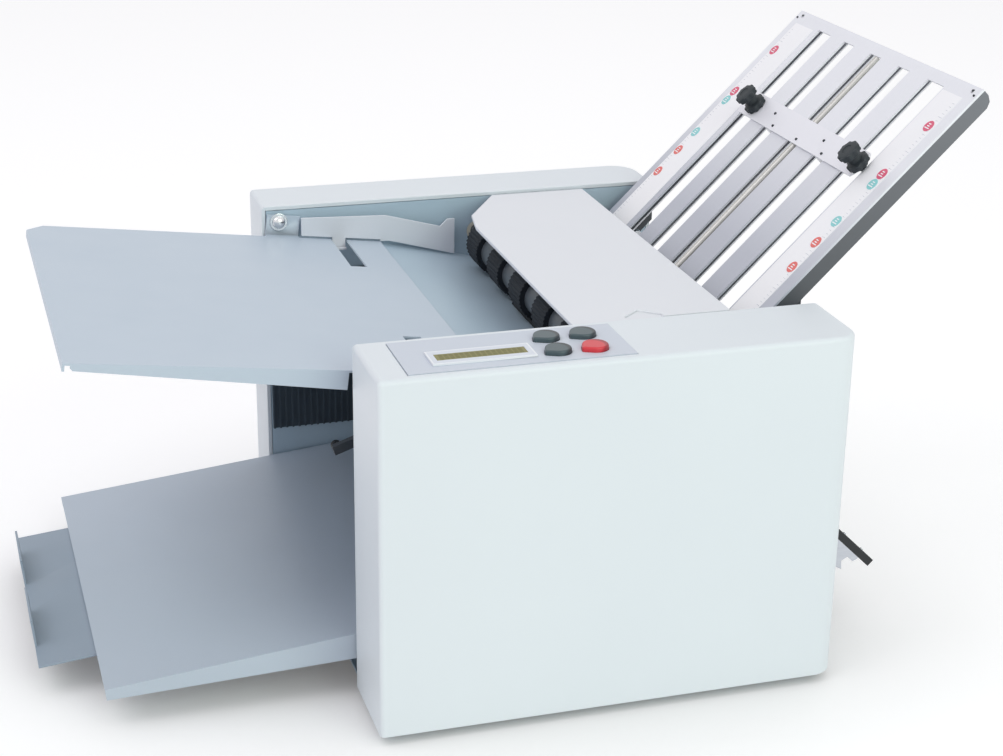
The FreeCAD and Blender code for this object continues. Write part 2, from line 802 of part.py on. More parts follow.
def make_feed_tray():
    """The sloping tray with its flanges, end lip, guide slots and the two ears that the studs hold."""
    length = "((tray_reach + tray_end_x) / cos(tray_tilt))"
    root = "(tray_reach / cos(tray_tilt))"
    half = "(tray_width / 2)"
    floor = padded("tray_floor", "XY", "tray_thickness", [
        [
            ("0", f"-{half}"), (length, f"-{half}"), (length, half),
            ("tray_corner", half), ("0", f"{half} - tray_corner"),
        ],
    ])
    pieces = [floor]
    for y, start in ((f"-{half}", "tray_flange_start"), (f"{half} - tray_thickness", "tray_corner")):
        flange = padded("tray_flange", "XZ", "tray_thickness", [[
            (start, "0"), (root, "0"), (root, "-tray_root_flange"),
            (f"{start} + tray_thickness", "-tray_tip_flange"), (start, "-tray_tip_flange + tray_thickness"),
        ]], back=True)
        pieces.append(placed(flange, "0", y, "tray_thickness"))
    pieces.append(block("0", f"-{half}", "-tray_lip", "tray_thickness", "tray_width - tray_corner",
                        "tray_lip"))
    ear_length = "(ear_right - ear_left)"
    front_wing = f"-{half} - ear_gap"
    for face, wing in ((front_wing, front_wing), (f"{half} + ear_gap - tray_thickness", half)):
        pieces.append(block(f"{root} + ear_left", wing, "0", ear_length, "ear_gap", "tray_thickness"))
        pieces.append(block(f"{root} + ear_left", face, "0", ear_length, "tray_thickness", "ear_top"))
    stud_along = f"({root} + (stud_x * cos(tray_tilt) - (stud_z - {TRAY_ROOT_Z}) * sin(tray_tilt)))"
    stud_up = f"(stud_x * sin(tray_tilt) + (stud_z - {TRAY_ROOT_Z}) * cos(tray_tilt) + tray_thickness)"
    hole = bar("stud_shank_radius + fit_gap", "tray_width + 4 * ear_gap", stud_along,
               f"-{half} - 2 * ear_gap", stud_up)
    notches = [
        block(f"{root} + guide_foot_x / cos(tray_tilt) - guide_slot_gap", y, "-overrun",
              "guide_foot_length / cos(tray_tilt) + 2 * guide_slot_gap",
              "guide_travel + guide_slot_gap + overrun", "tray_thickness + 2 * overrun")
        for y in (f"-{half} - overrun", f"{half} - guide_travel - guide_slot_gap")
    ]
    node("feed_tray", less(joined(*pieces), hole, *notches), "-tray_reach - tray_thickness * sin(tray_tilt)",
         MIDDLE, "tray_tip_z - tray_thickness * cos(tray_tilt)", "tray_tilt")
    studs = []
    rear_face = f"{MIDDLE} + {half} + ear_gap - tray_thickness"
    for inner, sign, shank_y in (
        (f"{MIDDLE} - {half} - ear_gap + tray_thickness", "1", FRONT_OUTER),
        (rear_face, "-1", rear_face),
    ):
        washer_y = inner if sign == "1" else f"{inner} - stud_washer"
        washer = bar("stud_washer_radius", "stud_washer", "stud_x", washer_y, "stud_z")
        dome = bind(
            doc.addObject("Part::Cone", "dome"), Radius1="stud_head_radius", Radius2="stud_head_tip_radius",
            Height="stud_head")
        placed(dome, "stud_x", f"{inner} + {sign} * stud_washer", "stud_z", f"-{sign} * 90", "1; 0; 0")
        shank_length = f"abs({inner} - {shank_y})" if sign == "1" else f"{REAR_OUTER} - ({inner})"
        shank = bar("stud_shank_radius", shank_length, "stud_x", shank_y, "stud_z")
        studs.append(joined(washer, dome, shank))
    node("tray_studs", group(*studs))


def make_feed_bed():
    """The ramp from the tray to the first nip, its side flanges and the rubber pad under the feed wheels."""
    top = [
        ("bed_left_x", "bed_left_z"), ("bed_mid_x", "bed_mid_z"),
        ("bed_turn_x", "bed_turn_z"), ("bed_end_x", "bed_end_z"),
    ]
    under = [(x, f"{z} - bed_thickness") for x, z in reversed(top)]
    ramp = padded("ramp", "XZ", "throat_width", [top + under], back=True)
    placed(ramp, "0", "front_depth", "0")
    pieces = [ramp]
    drop = "(bed_mid_z - bed_thickness)"
    for y in ("front_depth", f"{REAR_INNER} - bed_thickness"):
        flange = padded("bed_flange", "XZ", "bed_thickness", [[
            ("bed_flange_left", f"{drop} - bed_flange"), ("bed_flange_right", f"{drop} - bed_flange"),
            ("bed_flange_right", f"{drop} + (bed_mid_x - bed_flange_right) * tan(-{BED_SLOPE})"),
            ("bed_flange_left", f"{drop} + (bed_mid_x - bed_flange_left) * tan(-{BED_SLOPE})"),
        ]], back=True)
        pieces.append(placed(flange, "0", y, "0"))
    node("feed_bed", joined(*pieces))
    pad_body = padded("separator_pad", "XY", "pad_thickness", [rectangle(
        "-pad_length / 2", "-pad_width / 2", "pad_length / 2", "pad_width / 2")])
    node("separator_pad", pad_body, "feed_x", MIDDLE, PAD_Z, f"-{BED_TURN_SLOPE}")


def make_side_guide(name, sign):
    """A side guide plate with its window, its foot through the tray's slot and the plate under it."""
    floor = f"({TRAY_ROOT_Z} + guide_rise)"
    outline = [
        ("guide_left", "guide_top"), ("guide_step_x", "guide_step_z"), ("guide_dip_x", "guide_dip_z"),
        ("(guide_dip_x + guide_right) / 2", "guide_hump_z"), ("guide_right", "guide_hump_z"),
        ("guide_right", f"bed_mid_z + guide_rise + (bed_mid_x - guide_right) * tan(-{BED_SLOPE})"),
        ("bed_left_x + guide_rise", f"{floor} - bed_left_x * tan(tray_tilt)"),
        ("guide_left", f"{floor} - guide_left * tan(tray_tilt)"),
    ]
    window = rectangle("guide_window_left", "guide_window_low", "guide_window_right", "guide_window_high")
    plate = padded("guide_plate", "XZ", "guide_thickness", [outline, window], back=True)
    foot_top = f"({floor} - guide_foot_x * tan(tray_tilt))"
    foot = block("guide_foot_x", "0", f"{foot_top} - guide_foot_drop",
                 "guide_foot_length", "guide_thickness", "guide_foot_drop + guide_rise")
    inward = "guide_thickness - guide_foot_plate" if sign == "1" else "0"
    under = block("guide_foot_x", inward, f"{foot_top} - guide_foot_drop",
                  "guide_foot_length", "guide_foot_plate", "guide_thickness")
    y = f"{MIDDLE} + tray_width / 2" if sign == "1" else f"{MIDDLE} - tray_width / 2 - guide_thickness"
    node(name, joined(plate, foot, under), y=y)


def make_feed_cover():
    """The lift-up cover over the feed wheels, with its hinge ears and pins."""
    front = "(front_depth + lid_front_margin)"
    rear = f"({REAR_INNER} - lid_margin)"
    end = "lid_pocket_x + lid_pocket_length"
    outline = [
        ("lid_left", front), (end, front), (end, f"{front} + lid_front_step"),
        ("lid_right", f"{front} + lid_front_step"), ("lid_right", rear),
        ("lid_left + lid_nose + lid_chamfer_x", rear), ("lid_left + lid_nose", f"{rear} - lid_chamfer_y"),
        ("lid_left", f"{rear} - lid_chamfer_y - lid_chamfer_x"),
    ]
    plate = padded("lid_plate", "XY", "lid_thickness", [outline])
    placed(plate, "0", "0", "lid_top - lid_thickness")
    pieces = [plate]
    ears = (
        (f"{front} + lid_front_step", FRONT_OUTER, "lid_front_margin + lid_front_step"),
        (f"{rear} - lid_ear", rear, "lid_margin"),
    )
    for ear_y, pin_y, margin in ears:
        pieces.append(block(
            "lid_hinge_x - lid_ear_length / 2", ear_y, "lid_top - lid_thickness - lid_ear_drop",
            "lid_ear_length / 2 + lid_right - lid_hinge_x", "lid_ear", "lid_ear_drop"))
        pieces.append(bar("lid_pin_radius", f"{margin} + side_plate", "lid_hinge_x", pin_y, "lid_hinge_z"))
    side = f"{front} + lid_pocket_side"
    pocket = padded("thumb_pocket", "XY", "lid_pocket_depth + overrun", [[
        ("lid_pocket_x", f"{front} - overrun"), (end, f"{front} - overrun"), (end, side),
        ("lid_pocket_x + lid_pocket_length / 2", f"{front} + lid_pocket_tip"), ("lid_pocket_x", side),
    ]])
    placed(pocket, "0", "0", "lid_top - lid_pocket_depth")
    node("feed_cover", less(joined(*pieces), pocket))


def bush(x, z, radius, y, flange_y):
    """A flanged bush in a side plate."""
    sleeve = bar("bush_radius", "side_plate", x, y, z)
    flange = bar("bush_flange_radius", "bush_flange", x, flange_y, z)
    bore = bar(f"{radius} + fit_gap", "side_plate + bush_flange + 2 * overrun",
               x, f"{y} - bush_flange - overrun", z)
    return less(joined(sleeve, flange), bore)


def gear(name, x, z, turn):
    """A spur gear on a roller's rear end, turned so that its teeth mesh."""
    body = doc.addObject("PartDesign::Body", name)
    disc = new_sketch(body, "XZ")
    add_circle(disc, "0", "0", "gear_root_radius")
    add_circle(disc, "0", "0", "shaft_radius")
    pad(body, disc, "gear_width", back=True)
    tooth = new_sketch(body, "XZ")
    base = "gear_root_radius - gear_tip_tooth"
    add_outline(tooth, [
        (base, "-gear_root_tooth / 2"), ("gear_tip_radius", "-gear_tip_tooth / 2"),
        ("gear_tip_radius", "gear_tip_tooth / 2"), (base, "gear_root_tooth / 2"),
    ])
    one = pad(body, tooth, "gear_width", back=True)
    doc.recompute()
    ring = body.newObject("PartDesign::PolarPattern", "teeth")
    ring.Originals = [one]
    axis = next(item for item in body.Origin.OriginFeatures if item.Role == "Y_Axis")
    ring.Axis = (axis, [""])
    ring.Angle = 360
    bind(ring, Occurrences="gear_teeth")
    body.Tip = ring
    node(name, body, x, f"{REAR_OUTER} + bush_flange + gear_space", z, f"-({turn})")


FRONT_PULLEY_Y = f"({FRONT_OUTER} - bush_flange - gear_space - pulley_width)"
REAR_PULLEY_Y = f"({REAR_OUTER} + bush_flange + 2 * gear_space + gear_width)"


def belt(start, end, start_radius, end_radius, y):
    """A flat belt round two pulleys, the larger one at its start."""
    reach = f"sqrt(({start[0]} - {end[0]})^2 + ({start[1]} - {end[1]})^2)"
    body = doc.addObject("PartDesign::Body", "belt")
    sketch = new_sketch(body, "XZ")
    add_belt_loop(sketch, f"{start_radius} + belt_gap", f"{end_radius} + belt_gap", reach)
    grown = "belt_gap + belt_thickness"
    add_belt_loop(sketch, f"{start_radius} + {grown}", f"{end_radius} + {grown}", reach)
    pad(body, sketch, "pulley_width - 2 * belt_inset", back=True)
    turn = f"atan2({start[1]} - {end[1]}; {start[0]} - {end[0]})"
    return placed(body, start[0], f"{y} + belt_inset", start[1], f"-{turn}")


def make_rollers():
    """Four fold rollers with their gears and bushes."""
    length = "(throat_width - 2 * roller_end_gap)"
    for number, (x, z) in ROLLERS.items():
        shaft = bar("shaft_radius", "shaft_rear_y - shaft_front_y", "0", "shaft_front_y", "0")
        sleeve = bar("roller_radius", length, "0", "front_depth + roller_end_gap", "0")
        pieces = [shaft, sleeve]
        if number == 1:
            pieces.append(bar("feed_drive_radius", "pulley_width", "0", FRONT_PULLEY_Y, "0"))
        if number == 2:
            pieces.append(bar("drive_pulley_radius", "pulley_width", "0", REAR_PULLEY_Y, "0"))
        if number == 4:
            pieces.append(bar("exit_drive_radius", "pulley_width", "0", FRONT_PULLEY_Y, "0"))
        node(f"fold_roller_{number}", joined(*pieces), x, "0", z)
    step = "360 / gear_teeth"
    gear("fold_gear_2", *ROLLERS[2], "0")
    for number, turn in ((1, "first_nip_turn"), (3, "second_nip_turn"), (4, "third_nip_turn")):
        gear(f"fold_gear_{number}", *ROLLERS[number], f"2 * {turn} + 180 + {step} / 2")
    bushes = []
    for x, z, radius in shaft_places():
        bushes.append(bush(x, z, radius, FRONT_OUTER, f"{FRONT_OUTER} - bush_flange"))
        bushes.append(bush(x, z, radius, REAR_INNER, REAR_OUTER))
    node("shaft_bushes", group(*bushes))


def ring_row(radius, bore, width, pitch, count, x, z):
    """Wheels in a row on a shaft, about the middle of the throat."""
    rings = []
    number = int(value(count))
    for index in range(number):
        y = f"({MIDDLE} + ({index} - ({count} - 1) / 2) * {pitch} - {width} / 2)"
        wheel = bar(radius, width, x, y, z)
        hole = bar(bore, f"{width} + 2 * overrun", x, f"{y} - overrun", z)
        rings.append(less(wheel, hole))
    return rings


def make_feed_and_exit():
    """Feed shaft and wheels, exit shaft and wheels, and the idlers above them."""
    reach = f"({REAR_OUTER} + bush_flange + gear_space - shaft_front_y)"
    shaft = bar("shaft_radius", reach, "0", "shaft_front_y", "0")
    sleeve = bar(
        "feed_sleeve_radius", "(feed_wheel_count - 1) * feed_wheel_pitch + feed_wheel_width",
        "0", f"{MIDDLE} - ((feed_wheel_count - 1) * feed_wheel_pitch + feed_wheel_width) / 2", "0")
    pulley = bar("feed_pulley_radius", "pulley_width", "0", FRONT_PULLEY_Y, "0")
    node("feed_shaft", joined(shaft, sleeve, pulley), "feed_x", "0", FEED_Z)
    wheels = ring_row(
        "feed_wheel_radius", "feed_sleeve_radius", "feed_wheel_width", "feed_wheel_pitch", "feed_wheel_count",
        "0", "0")
    node("feed_wheels", group(*wheels), "feed_x", "0", FEED_Z)
    shaft = bar("shaft_radius", reach, "0", "shaft_front_y", "0")
    pulley = bar("exit_pulley_radius", "pulley_width", "0", FRONT_PULLEY_Y, "0")
    node("exit_shaft", joined(shaft, pulley), "exit_x", "0", "exit_z")
    wheels = ring_row(
        "exit_wheel_radius", "shaft_radius", "exit_wheel_width", "exit_wheel_pitch", "exit_wheel_count",
        "0", "0")
    node("exit_wheels", group(*wheels), "exit_x", "0", "exit_z")
    idler = bar("idler_shaft_radius", f"{REAR_OUTER} - {FRONT_OUTER} + 2 * bush_flange",
                "0", f"{FRONT_OUTER} - bush_flange", "0")
    rollers = []
    for index in range(int(value("exit_wheel_count"))):
        y = f"({MIDDLE} + ({index} - (exit_wheel_count - 1) / 2) * exit_wheel_pitch - exit_wheel_width / 2)"
        rollers.append(bar("idler_radius", "exit_wheel_width", "0", y, "0"))
    node("exit_idlers", joined(idler, *rollers), "exit_x", "0", IDLER_Z)


def make_motor():
    """Motor on the rear plate, its pulley and the three belts."""
    case = bar("motor_radius", "motor_length", "motor_x", f"{REAR_INNER} - motor_length", "motor_z")
    boss = bar("motor_boss_radius", "side_plate", "motor_x", REAR_INNER, "motor_z")
    shaft = bar("motor_shaft_radius", f"{REAR_PULLEY_Y} + pulley_width - ({REAR_OUTER})",
                "motor_x", REAR_OUTER, "motor_z")
    bracket = block("motor_x - motor_radius", f"{REAR_INNER} - motor_length", PAN_TOP,
                    "2 * motor_radius", "motor_length / 3", f"motor_z - {PAN_TOP}")
    node("drive_motor", joined(case, boss, shaft, bracket))
    wheel = bar("motor_pulley_radius", "pulley_width", "0", "0", "0")
    bore = bar("motor_shaft_radius + fit_gap", "pulley_width + 2 * overrun", "0", "-overrun", "0")
    node("motor_pulley", less(wheel, bore), "motor_x", REAR_PULLEY_Y, "motor_z")
    belts = [
        belt(ROLLERS[2], ("motor_x", "motor_z"), "drive_pulley_radius", "motor_pulley_radius", REAR_PULLEY_Y),
        belt(("feed_x", FEED_Z), ROLLERS[1], "feed_pulley_radius", "feed_drive_radius", FRONT_PULLEY_Y),
        belt(ROLLERS[4], ("exit_x", "exit_z"), "exit_drive_radius", "exit_pulley_radius", FRONT_PULLEY_Y),
    ]
    node("drive_belts", group(*belts))


def make_exit_tray():
    """The exit tray on its four pins, and the extension that slides under it."""
    half = "(exit_width / 2)"
    rail_y = "(slider_width / 2 + seat_gap)"
    pieces = [block("-exit_reach", f"-{half}", "-exit_thickness", "exit_reach + exit_inner", "exit_width",
                    "exit_thickness")]
    for y in (f"-{half}", f"{half} - exit_thickness"):
        flange = padded("exit_flange", "XZ", "exit_thickness", [[
            ("-exit_reach", "0"), ("-exit_reach", "-exit_tip_flange"), ("0", "-exit_root_flange"),
            ("exit_inner", "-exit_root_flange"), ("exit_inner", "0"),
        ]], [("exit_pin_x", "-exit_pin_drop", "pin_radius + fit_gap")], back=True)
        pieces.append(placed(flange, "0", y, "0"))
    rail_drop = "(exit_thickness + slider_thickness + 2 * seat_gap + slider_rail)"
    rail_start = "-exit_reach"
    for wall_y, lip_y in (
        (f"-{rail_y} - slider_rail", f"-{rail_y}"),
        (rail_y, f"{rail_y} - slider_rail_lip"),
    ):
        pieces.append(block(rail_start, wall_y, f"-{rail_drop}", "exit_reach", "slider_rail", rail_drop))
        pieces.append(block(rail_start, lip_y, f"-{rail_drop}", "exit_reach", "slider_rail_lip",
                            "slider_rail"))
    node("exit_tray", joined(*pieces), "0", MIDDLE, "exit_bend_z", "-exit_tilt")
    level = "-(exit_thickness + slider_thickness + seat_gap)"
    reach = "((slider_reach - tab_height * sin(exit_tilt)) / cos(exit_tilt))"
    slide = block(f"-{reach}", "-slider_width / 2", level, f"{reach} - slider_inner", "slider_width",
                  "slider_thickness")
    tabs = [
        block(f"-{reach}", f"{side} * tab_offset - tab_length / 2", level, "slider_thickness", "tab_length",
              "tab_height")
        for side in ("-1", "1")
    ]
    node("exit_extension", joined(slide, *tabs), "0", MIDDLE, "exit_bend_z", "-exit_tilt")


def make_exit_inside():
    """The chute from the last nip to the exit wheels, and the ribbed liner on the rear plate."""
    sheets = []
    for near, far in (("chute_half_gap", "chute_half_gap + chute_thickness"),
                      ("-chute_half_gap - chute_thickness", "-chute_half_gap")):
        outline = [
            ("chute_left_x", f"chute_path_z + {near}"), ("chute_right_x", f"chute_right_z + {near}"),
            ("chute_right_x", f"chute_right_z + {far}"), ("chute_left_x", f"chute_path_z + {far}"),
        ]
        sheet_body = padded("chute_sheet", "XZ", "throat_width", [outline], back=True)
        sheets.append(placed(sheet_body, "0", "front_depth", "0"))
    node("exit_chute", group(*sheets))
    plate = block("liner_left", "-liner_thickness", "liner_low",
                  "liner_right - liner_left", "liner_thickness", "liner_high - liner_low")
    ribs = []
    count = int(value("(liner_right - liner_left) / liner_rib_pitch"))
    for index in range(count):
        ribs.append(block(f"liner_left + {index} * liner_rib_pitch", "-liner_thickness - liner_rib",
                          "liner_low", "liner_rib", "liner_rib", "liner_high - liner_low"))
    holes = [
        bar("stacker_radius + seat_gap", "2 * overrun", "stacker_x", "-overrun", "stacker_z"),
        bar("shaft_radius + seat_gap", "2 * overrun", "exit_x", "-overrun", "exit_z"),
        bar("idler_shaft_radius + seat_gap", "2 * overrun", "exit_x", "-overrun", IDLER_Z),
    ]
    node("ribbed_liner", less(joined(plate, *ribs), *holes), y=REAR_INNER)


def make_stacker():
    """The swinging arms over the exit stack and the wheels at their tips."""
    rod = bar("stacker_radius", "throat_width + 2 * side_plate", "0", FRONT_OUTER, "0")
    pieces = [rod]
    wheels = []
    for side, wheel_side in (("-1", "1"), ("1", "-1")):
        middle = f"({MIDDLE} + {side} * stacker_offset)"
        arm = block("-stacker_arm_length", f"{middle} - stacker_arm_thickness / 2", "-stacker_arm_height / 2",
                    "stacker_arm_length", "stacker_arm_thickness", "stacker_arm_height")
        collar = bar("stacker_collar", "stacker_arm_thickness", "0",
                     f"{middle} - stacker_arm_thickness / 2", "0")
        face = f"({middle} + {wheel_side} * stacker_arm_thickness / 2)"
        reach = "(stacker_wheel_width + 2 * seat_gap)"
        pin_start = face if wheel_side == "1" else f"({face} - {reach})"
        pin_x = "-stacker_arm_length + stacker_wheel_radius"
        pin = bar("stacker_pin_radius", reach, pin_x, pin_start, "0")
        pieces += [arm, collar, pin]
        wheel_start = f"({pin_start} + seat_gap)"
        wheel = bar("stacker_wheel_radius", "stacker_wheel_width", "0", wheel_start, "0")
        bore = bar("stacker_pin_radius + fit_gap", "stacker_wheel_width + 2 * overrun", "0",
                   f"{wheel_start} - overrun", "0")
        wheels.append(less(wheel, bore))
    node("stacker_arm", joined(*pieces), "stacker_x", "0", "stacker_z", "-stacker_turn")
    tip = "(stacker_arm_length - stacker_wheel_radius)"
    node("stacker_wheels", group(*wheels),
         f"stacker_x - {tip} * cos(stacker_turn)", "0", f"stacker_z - {tip} * sin(stacker_turn)",
         "-stacker_turn")


SLOTS = [("2", "rear_slot_width"), ("1", "slot_width"), ("0", "slot_width"), ("-1", "slot_width"),
         ("-2", "front_slot_width")]


def slot_sides(step, width):
    """Front and rear side of a slot, from the plate's middle line."""
    rear = f"({step} * slot_pitch + slot_width / 2)"
    return f"({rear} - {width})", rear


def plate_frame(side):
    """Where a fold plate's own frame stands and how it is turned."""
    if side == "upper":
        x, z = on_plate("upper", "0", "0")
        return x, z, "-upper_tilt"
    return "lower_start_x", "lower_start_z", "lower_tilt"


FLANGES = {
    "upper": [
        ("0", "0"), ("0", "-upper_flange"), ("upper_length - upper_flange_corner", "-upper_flange"),
        ("upper_length - upper_flange_corner / 3", "-upper_flange + upper_flange_corner / 3"),
        ("upper_length", "-upper_flange + upper_flange_corner"), ("upper_length", "0"),
    ],
    "lower": [
        ("0", "-path_depth - backing_thickness"), ("lower_length", "-path_depth - backing_thickness"),
        ("lower_hook_x", "-lower_hook_low"), ("lower_length + plate_thickness", "-lower_hook_dip"),
        ("lower_length + 2 * plate_thickness", "lower_lobe_low"),
        ("lower_lobe_x - plate_thickness", "lower_lobe_low"), ("lower_lobe_x", "lower_lobe_high"),
        ("lower_lobe_x", "lower_flange"), ("0", "lower_flange"),
    ],
}


def make_fold_plate(side):
    """A fold plate: slotted sheet with flanges, slotted backing under the path, and hook brackets."""
    x, z, turn = plate_frame(side)
    half = "(plate_width / 2)"
    length = f"{side}_length"
    near = f"{side}_slot_end" if side == "upper" else f"{side}_slot_start"
    far = f"{side}_slot_start" if side == "upper" else f"{side}_slot_end"
    slots = []
    wide_slots = []
    for step, width in SLOTS:
        front, rear = slot_sides(step, width)
        slots.append(rectangle(near, front, f"{length} - {far}", rear))
        wide_slots.append(rectangle(
            f"{near} - backing_slot_end", f"{front} - backing_slot_front",
            f"{length} - {far} + backing_slot_end", f"{rear} + backing_slot_rear"))
    holes = [
        (f"{length} - corner_hole_inset / 2", f"{way} * ({half} - corner_hole_inset)", "corner_hole_radius")
        for way in ("-1", "1")
    ]
    outlines = [rectangle("0", f"-{half}", length, half)] + slots
    face = padded("plate_face", "XY", "plate_thickness", outlines, holes, back=True)
    pieces = [face]
    for y in (f"-{half}", f"{half} - plate_thickness"):
        flange = padded("flange", "XZ", "plate_thickness", [FLANGES[side]], back=True)
        pieces.append(placed(flange, "0", y, "0"))
    if side == "lower":
        for y in (f"-{half}", f"{half} - lower_rail_width"):
            pieces.append(block("0", y, "lower_flange",
                                "lower_rail_length", "lower_rail_width", "lower_rail_height"))
    plate = joined(*pieces)
    inner = f"({half} - plate_thickness)"
    backing = padded("backing", "XY", "backing_thickness",
                     [rectangle("0", f"-{inner}", f"{length} - plate_thickness", inner)] + wide_slots,
                     back=True)
    placed(backing, "0", "0", "-path_depth")
    if side == "upper":
        node("upper_fold_plate", plate, x, MIDDLE, z, turn)
        node("upper_backing", group(backing), x, MIDDLE, z, turn)
    else:
        node("lower_fold_plate", group(plate, backing), x, MIDDLE, z, turn)
    top = "-path_depth - backing_thickness"
    drop = f"-{side}_bracket_drop"
    slant = f"({side}_bracket_drop - path_depth - backing_thickness) * tan({side}_tilt)"
    brackets = []
    for y in (f"-{inner}", f"{inner} - bracket_thickness"):
        cheek = padded("cheek", "XZ", "bracket_thickness", [[
            (f"{side}_bracket_near", top), (f"{side}_bracket_near + bush_radius", drop),
            (f"{side}_bracket_far - {slant}", drop), (f"{side}_bracket_far", top),
        ]], back=True)
        notches = [
            bar("notch_radius", "bracket_thickness + 2 * overrun", f"{side}_pin_{where}", "-overrun", drop)
            for where in ("near", "far")
        ]
        brackets.append(placed(less(cheek, *notches), "0", y, "0"))
    node(f"{side}_hook_brackets", group(*brackets), x, MIDDLE, z, turn)


def make_guide_rod():
    """The round rod in the upper plate's middle slot."""
    x, z, turn = plate_frame("upper")
    rod = bind(doc.addObject("Part::Cylinder", "rod"), Radius="guide_rod_radius",
               Height="upper_length - upper_slot_start - upper_slot_end")
    placed(rod, "upper_slot_end", "0", "-guide_rod_radius - seat_gap", "90", "0; 1; 0")
    node("guide_rod", group(rod), x, MIDDLE, z, turn)


def make_stop(side):
    """A stop strip that slides on a fold plate, with its fingers and two clamp knobs."""
    x, z, turn = plate_frame(side)
    half = "(plate_width / 2)"
    span = "upper_stop_reach" if side == "upper" else f"({half} - lower_rail_width - seat_gap)"
    start = f"({side}_length - {side}_stop_from_edge)" if side == "upper" else "lower_stop_start"
    strip = padded("strip", "XY", "stop_thickness", [[
        (start, f"-{span} + pointer_length"), (f"{start} + stop_width / 2 - pointer_length", f"-{span}"),
        (f"{start} + stop_width / 2 + pointer_length", f"-{span}"),
        (f"{start} + stop_width", f"-{span} + pointer_length"),
        (f"{start} + stop_width", f"{span} - pointer_length"),
        (f"{start} + stop_width / 2 + pointer_length", span),
        (f"{start} + stop_width / 2 - pointer_length", span), (start, f"{span} - pointer_length"),
    ]])
    pieces = [placed(strip, "0", "0", "stop_rise")]
    for step in ("1", "-1"):
        pieces.append(block(start, f"{step} * slot_pitch - finger_width / 2", "-finger_reach",
                            "finger_thickness", "finger_width", "finger_reach + stop_rise"))
    knob_x = f"({start} + knob_line)"
    knob_places = {}
    for where, step, width in (("rear", "2", "rear_slot_width"), ("front", "-2", "front_slot_width")):
        front, rear = slot_sides(step, width)
        knob_places[where] = f"(({front} + {rear}) / 2 - knob_shift)"
    holes = [
        post("knob_shank_radius + fit_gap", "stop_thickness + 2 * overrun", knob_x, y, "stop_rise - overrun")
        for y in knob_places.values()
    ]
    node(f"{side}_stop", less(joined(*pieces), *holes), x, MIDDLE, z, turn)
    for where, y in knob_places.items():
        seat = "(stop_rise + stop_thickness + seat_gap)"
        spool = [
            post("knob_radius", "knob_base", "0", "0", seat),
            post("knob_waist_radius", "knob_waist", "0", "0", f"{seat} + knob_base"),
            post("knob_radius", "knob_head", "0", "0", f"{seat} + knob_base + knob_waist"),
            post("knob_shank_radius", f"knob_shank + {seat}", "0", "0", "-knob_shank"),
        ]
        knob_at, knob_up = on_plate(side, knob_x, "0")
        node(f"{side}_knob_{where}", joined(*spool), knob_at, f"{MIDDLE} + {y}", knob_up, turn)


def make_mounting_pins():
    """The pins on the side plates that the fold plates hook over and the exit tray hangs on."""
    pins = []
    for x, z in PLATE_PINS:
        for start, shank in (("front_depth", FRONT_OUTER), (f"{REAR_INNER} - plate_pin_reach", REAR_INNER)):
            body = bar("plate_pin_radius", "plate_pin_reach", x, start, z)
            pins.append(joined(body, bar("pin_radius", "side_plate", x, shank, z)))
    for start, shank in (("front_depth", FRONT_OUTER), (f"{REAR_INNER} - pin_reach", REAR_INNER)):
        body = bar("pin_radius", "pin_reach", EXIT_PIN_X, start, EXIT_PIN_Z)
        pins.append(joined(body, bar("pin_radius / 2", "side_plate", EXIT_PIN_X, shank, EXIT_PIN_Z)))
    node("mounting_pins", group(*pins))


def make_power():
    """Power supply on the base pan, and the inlet with its switch in the rear cover's right end."""
    box = block("supply_left", f"{REAR_OUTER} + supply_gap", PAN_TOP,
                "supply_length", "supply_width", "supply_height")
    node("power_supply", group(box))
    outer = "cover_length"
    axis = f"{outer} + inlet_flange - rocker_depth / 4"
    low = "(inlet_z - inlet_height / 2)"
    high = "(rocker_z + rocker_height / 2 + rocker_gap + inlet_flange_lip)"
    core = block(f"{outer} - inlet_depth", "inlet_y - inlet_width / 2", low,
                 "inlet_depth", "inlet_width", f"{high} - {low}")
    flange = block(outer, "inlet_y - inlet_width / 2 - inlet_flange_lip", f"{low} - inlet_flange_lip",
                   "inlet_flange", "inlet_width + 2 * inlet_flange_lip",
                   f"{high} - {low} + 2 * inlet_flange_lip")
    socket = block(f"{outer} - pin_bay", "inlet_y - inlet_width / 2 + inlet_flange_lip",
                   f"{low} + inlet_flange_lip", "pin_bay + inlet_flange + overrun",
                   "inlet_width - 2 * inlet_flange_lip", "inlet_height - 2 * inlet_flange_lip")
    bay = block(f"{outer} + inlet_flange - rocker_depth - rocker_gap",
                "inlet_y - rocker_width / 2 - seat_gap", "rocker_z - rocker_height / 2 - rocker_gap",
                "rocker_depth + rocker_gap + overrun", "rocker_width + 2 * seat_gap",
                "rocker_height + 2 * rocker_gap")
    bore = bar("rocker_axle_radius + fit_gap", "rocker_width + 2 * rocker_axle_reach + 2 * seat_gap",
               axis, "inlet_y - rocker_width / 2 - rocker_axle_reach - seat_gap", "rocker_z")
    node("power_inlet", less(joined(core, flange), socket, bay, bore))
    key = block("-rocker_depth / 2", "-rocker_width / 2", "-rocker_height / 2",
                "rocker_depth / 2 + rocker_proud", "rocker_width", "rocker_height")
    axle = bar("rocker_axle_radius", "rocker_width + 2 * rocker_axle_reach",
               "0", "-rocker_width / 2 - rocker_axle_reach", "0")
    node("power_switch", joined(key, axle), axis, "inlet_y", "rocker_z")


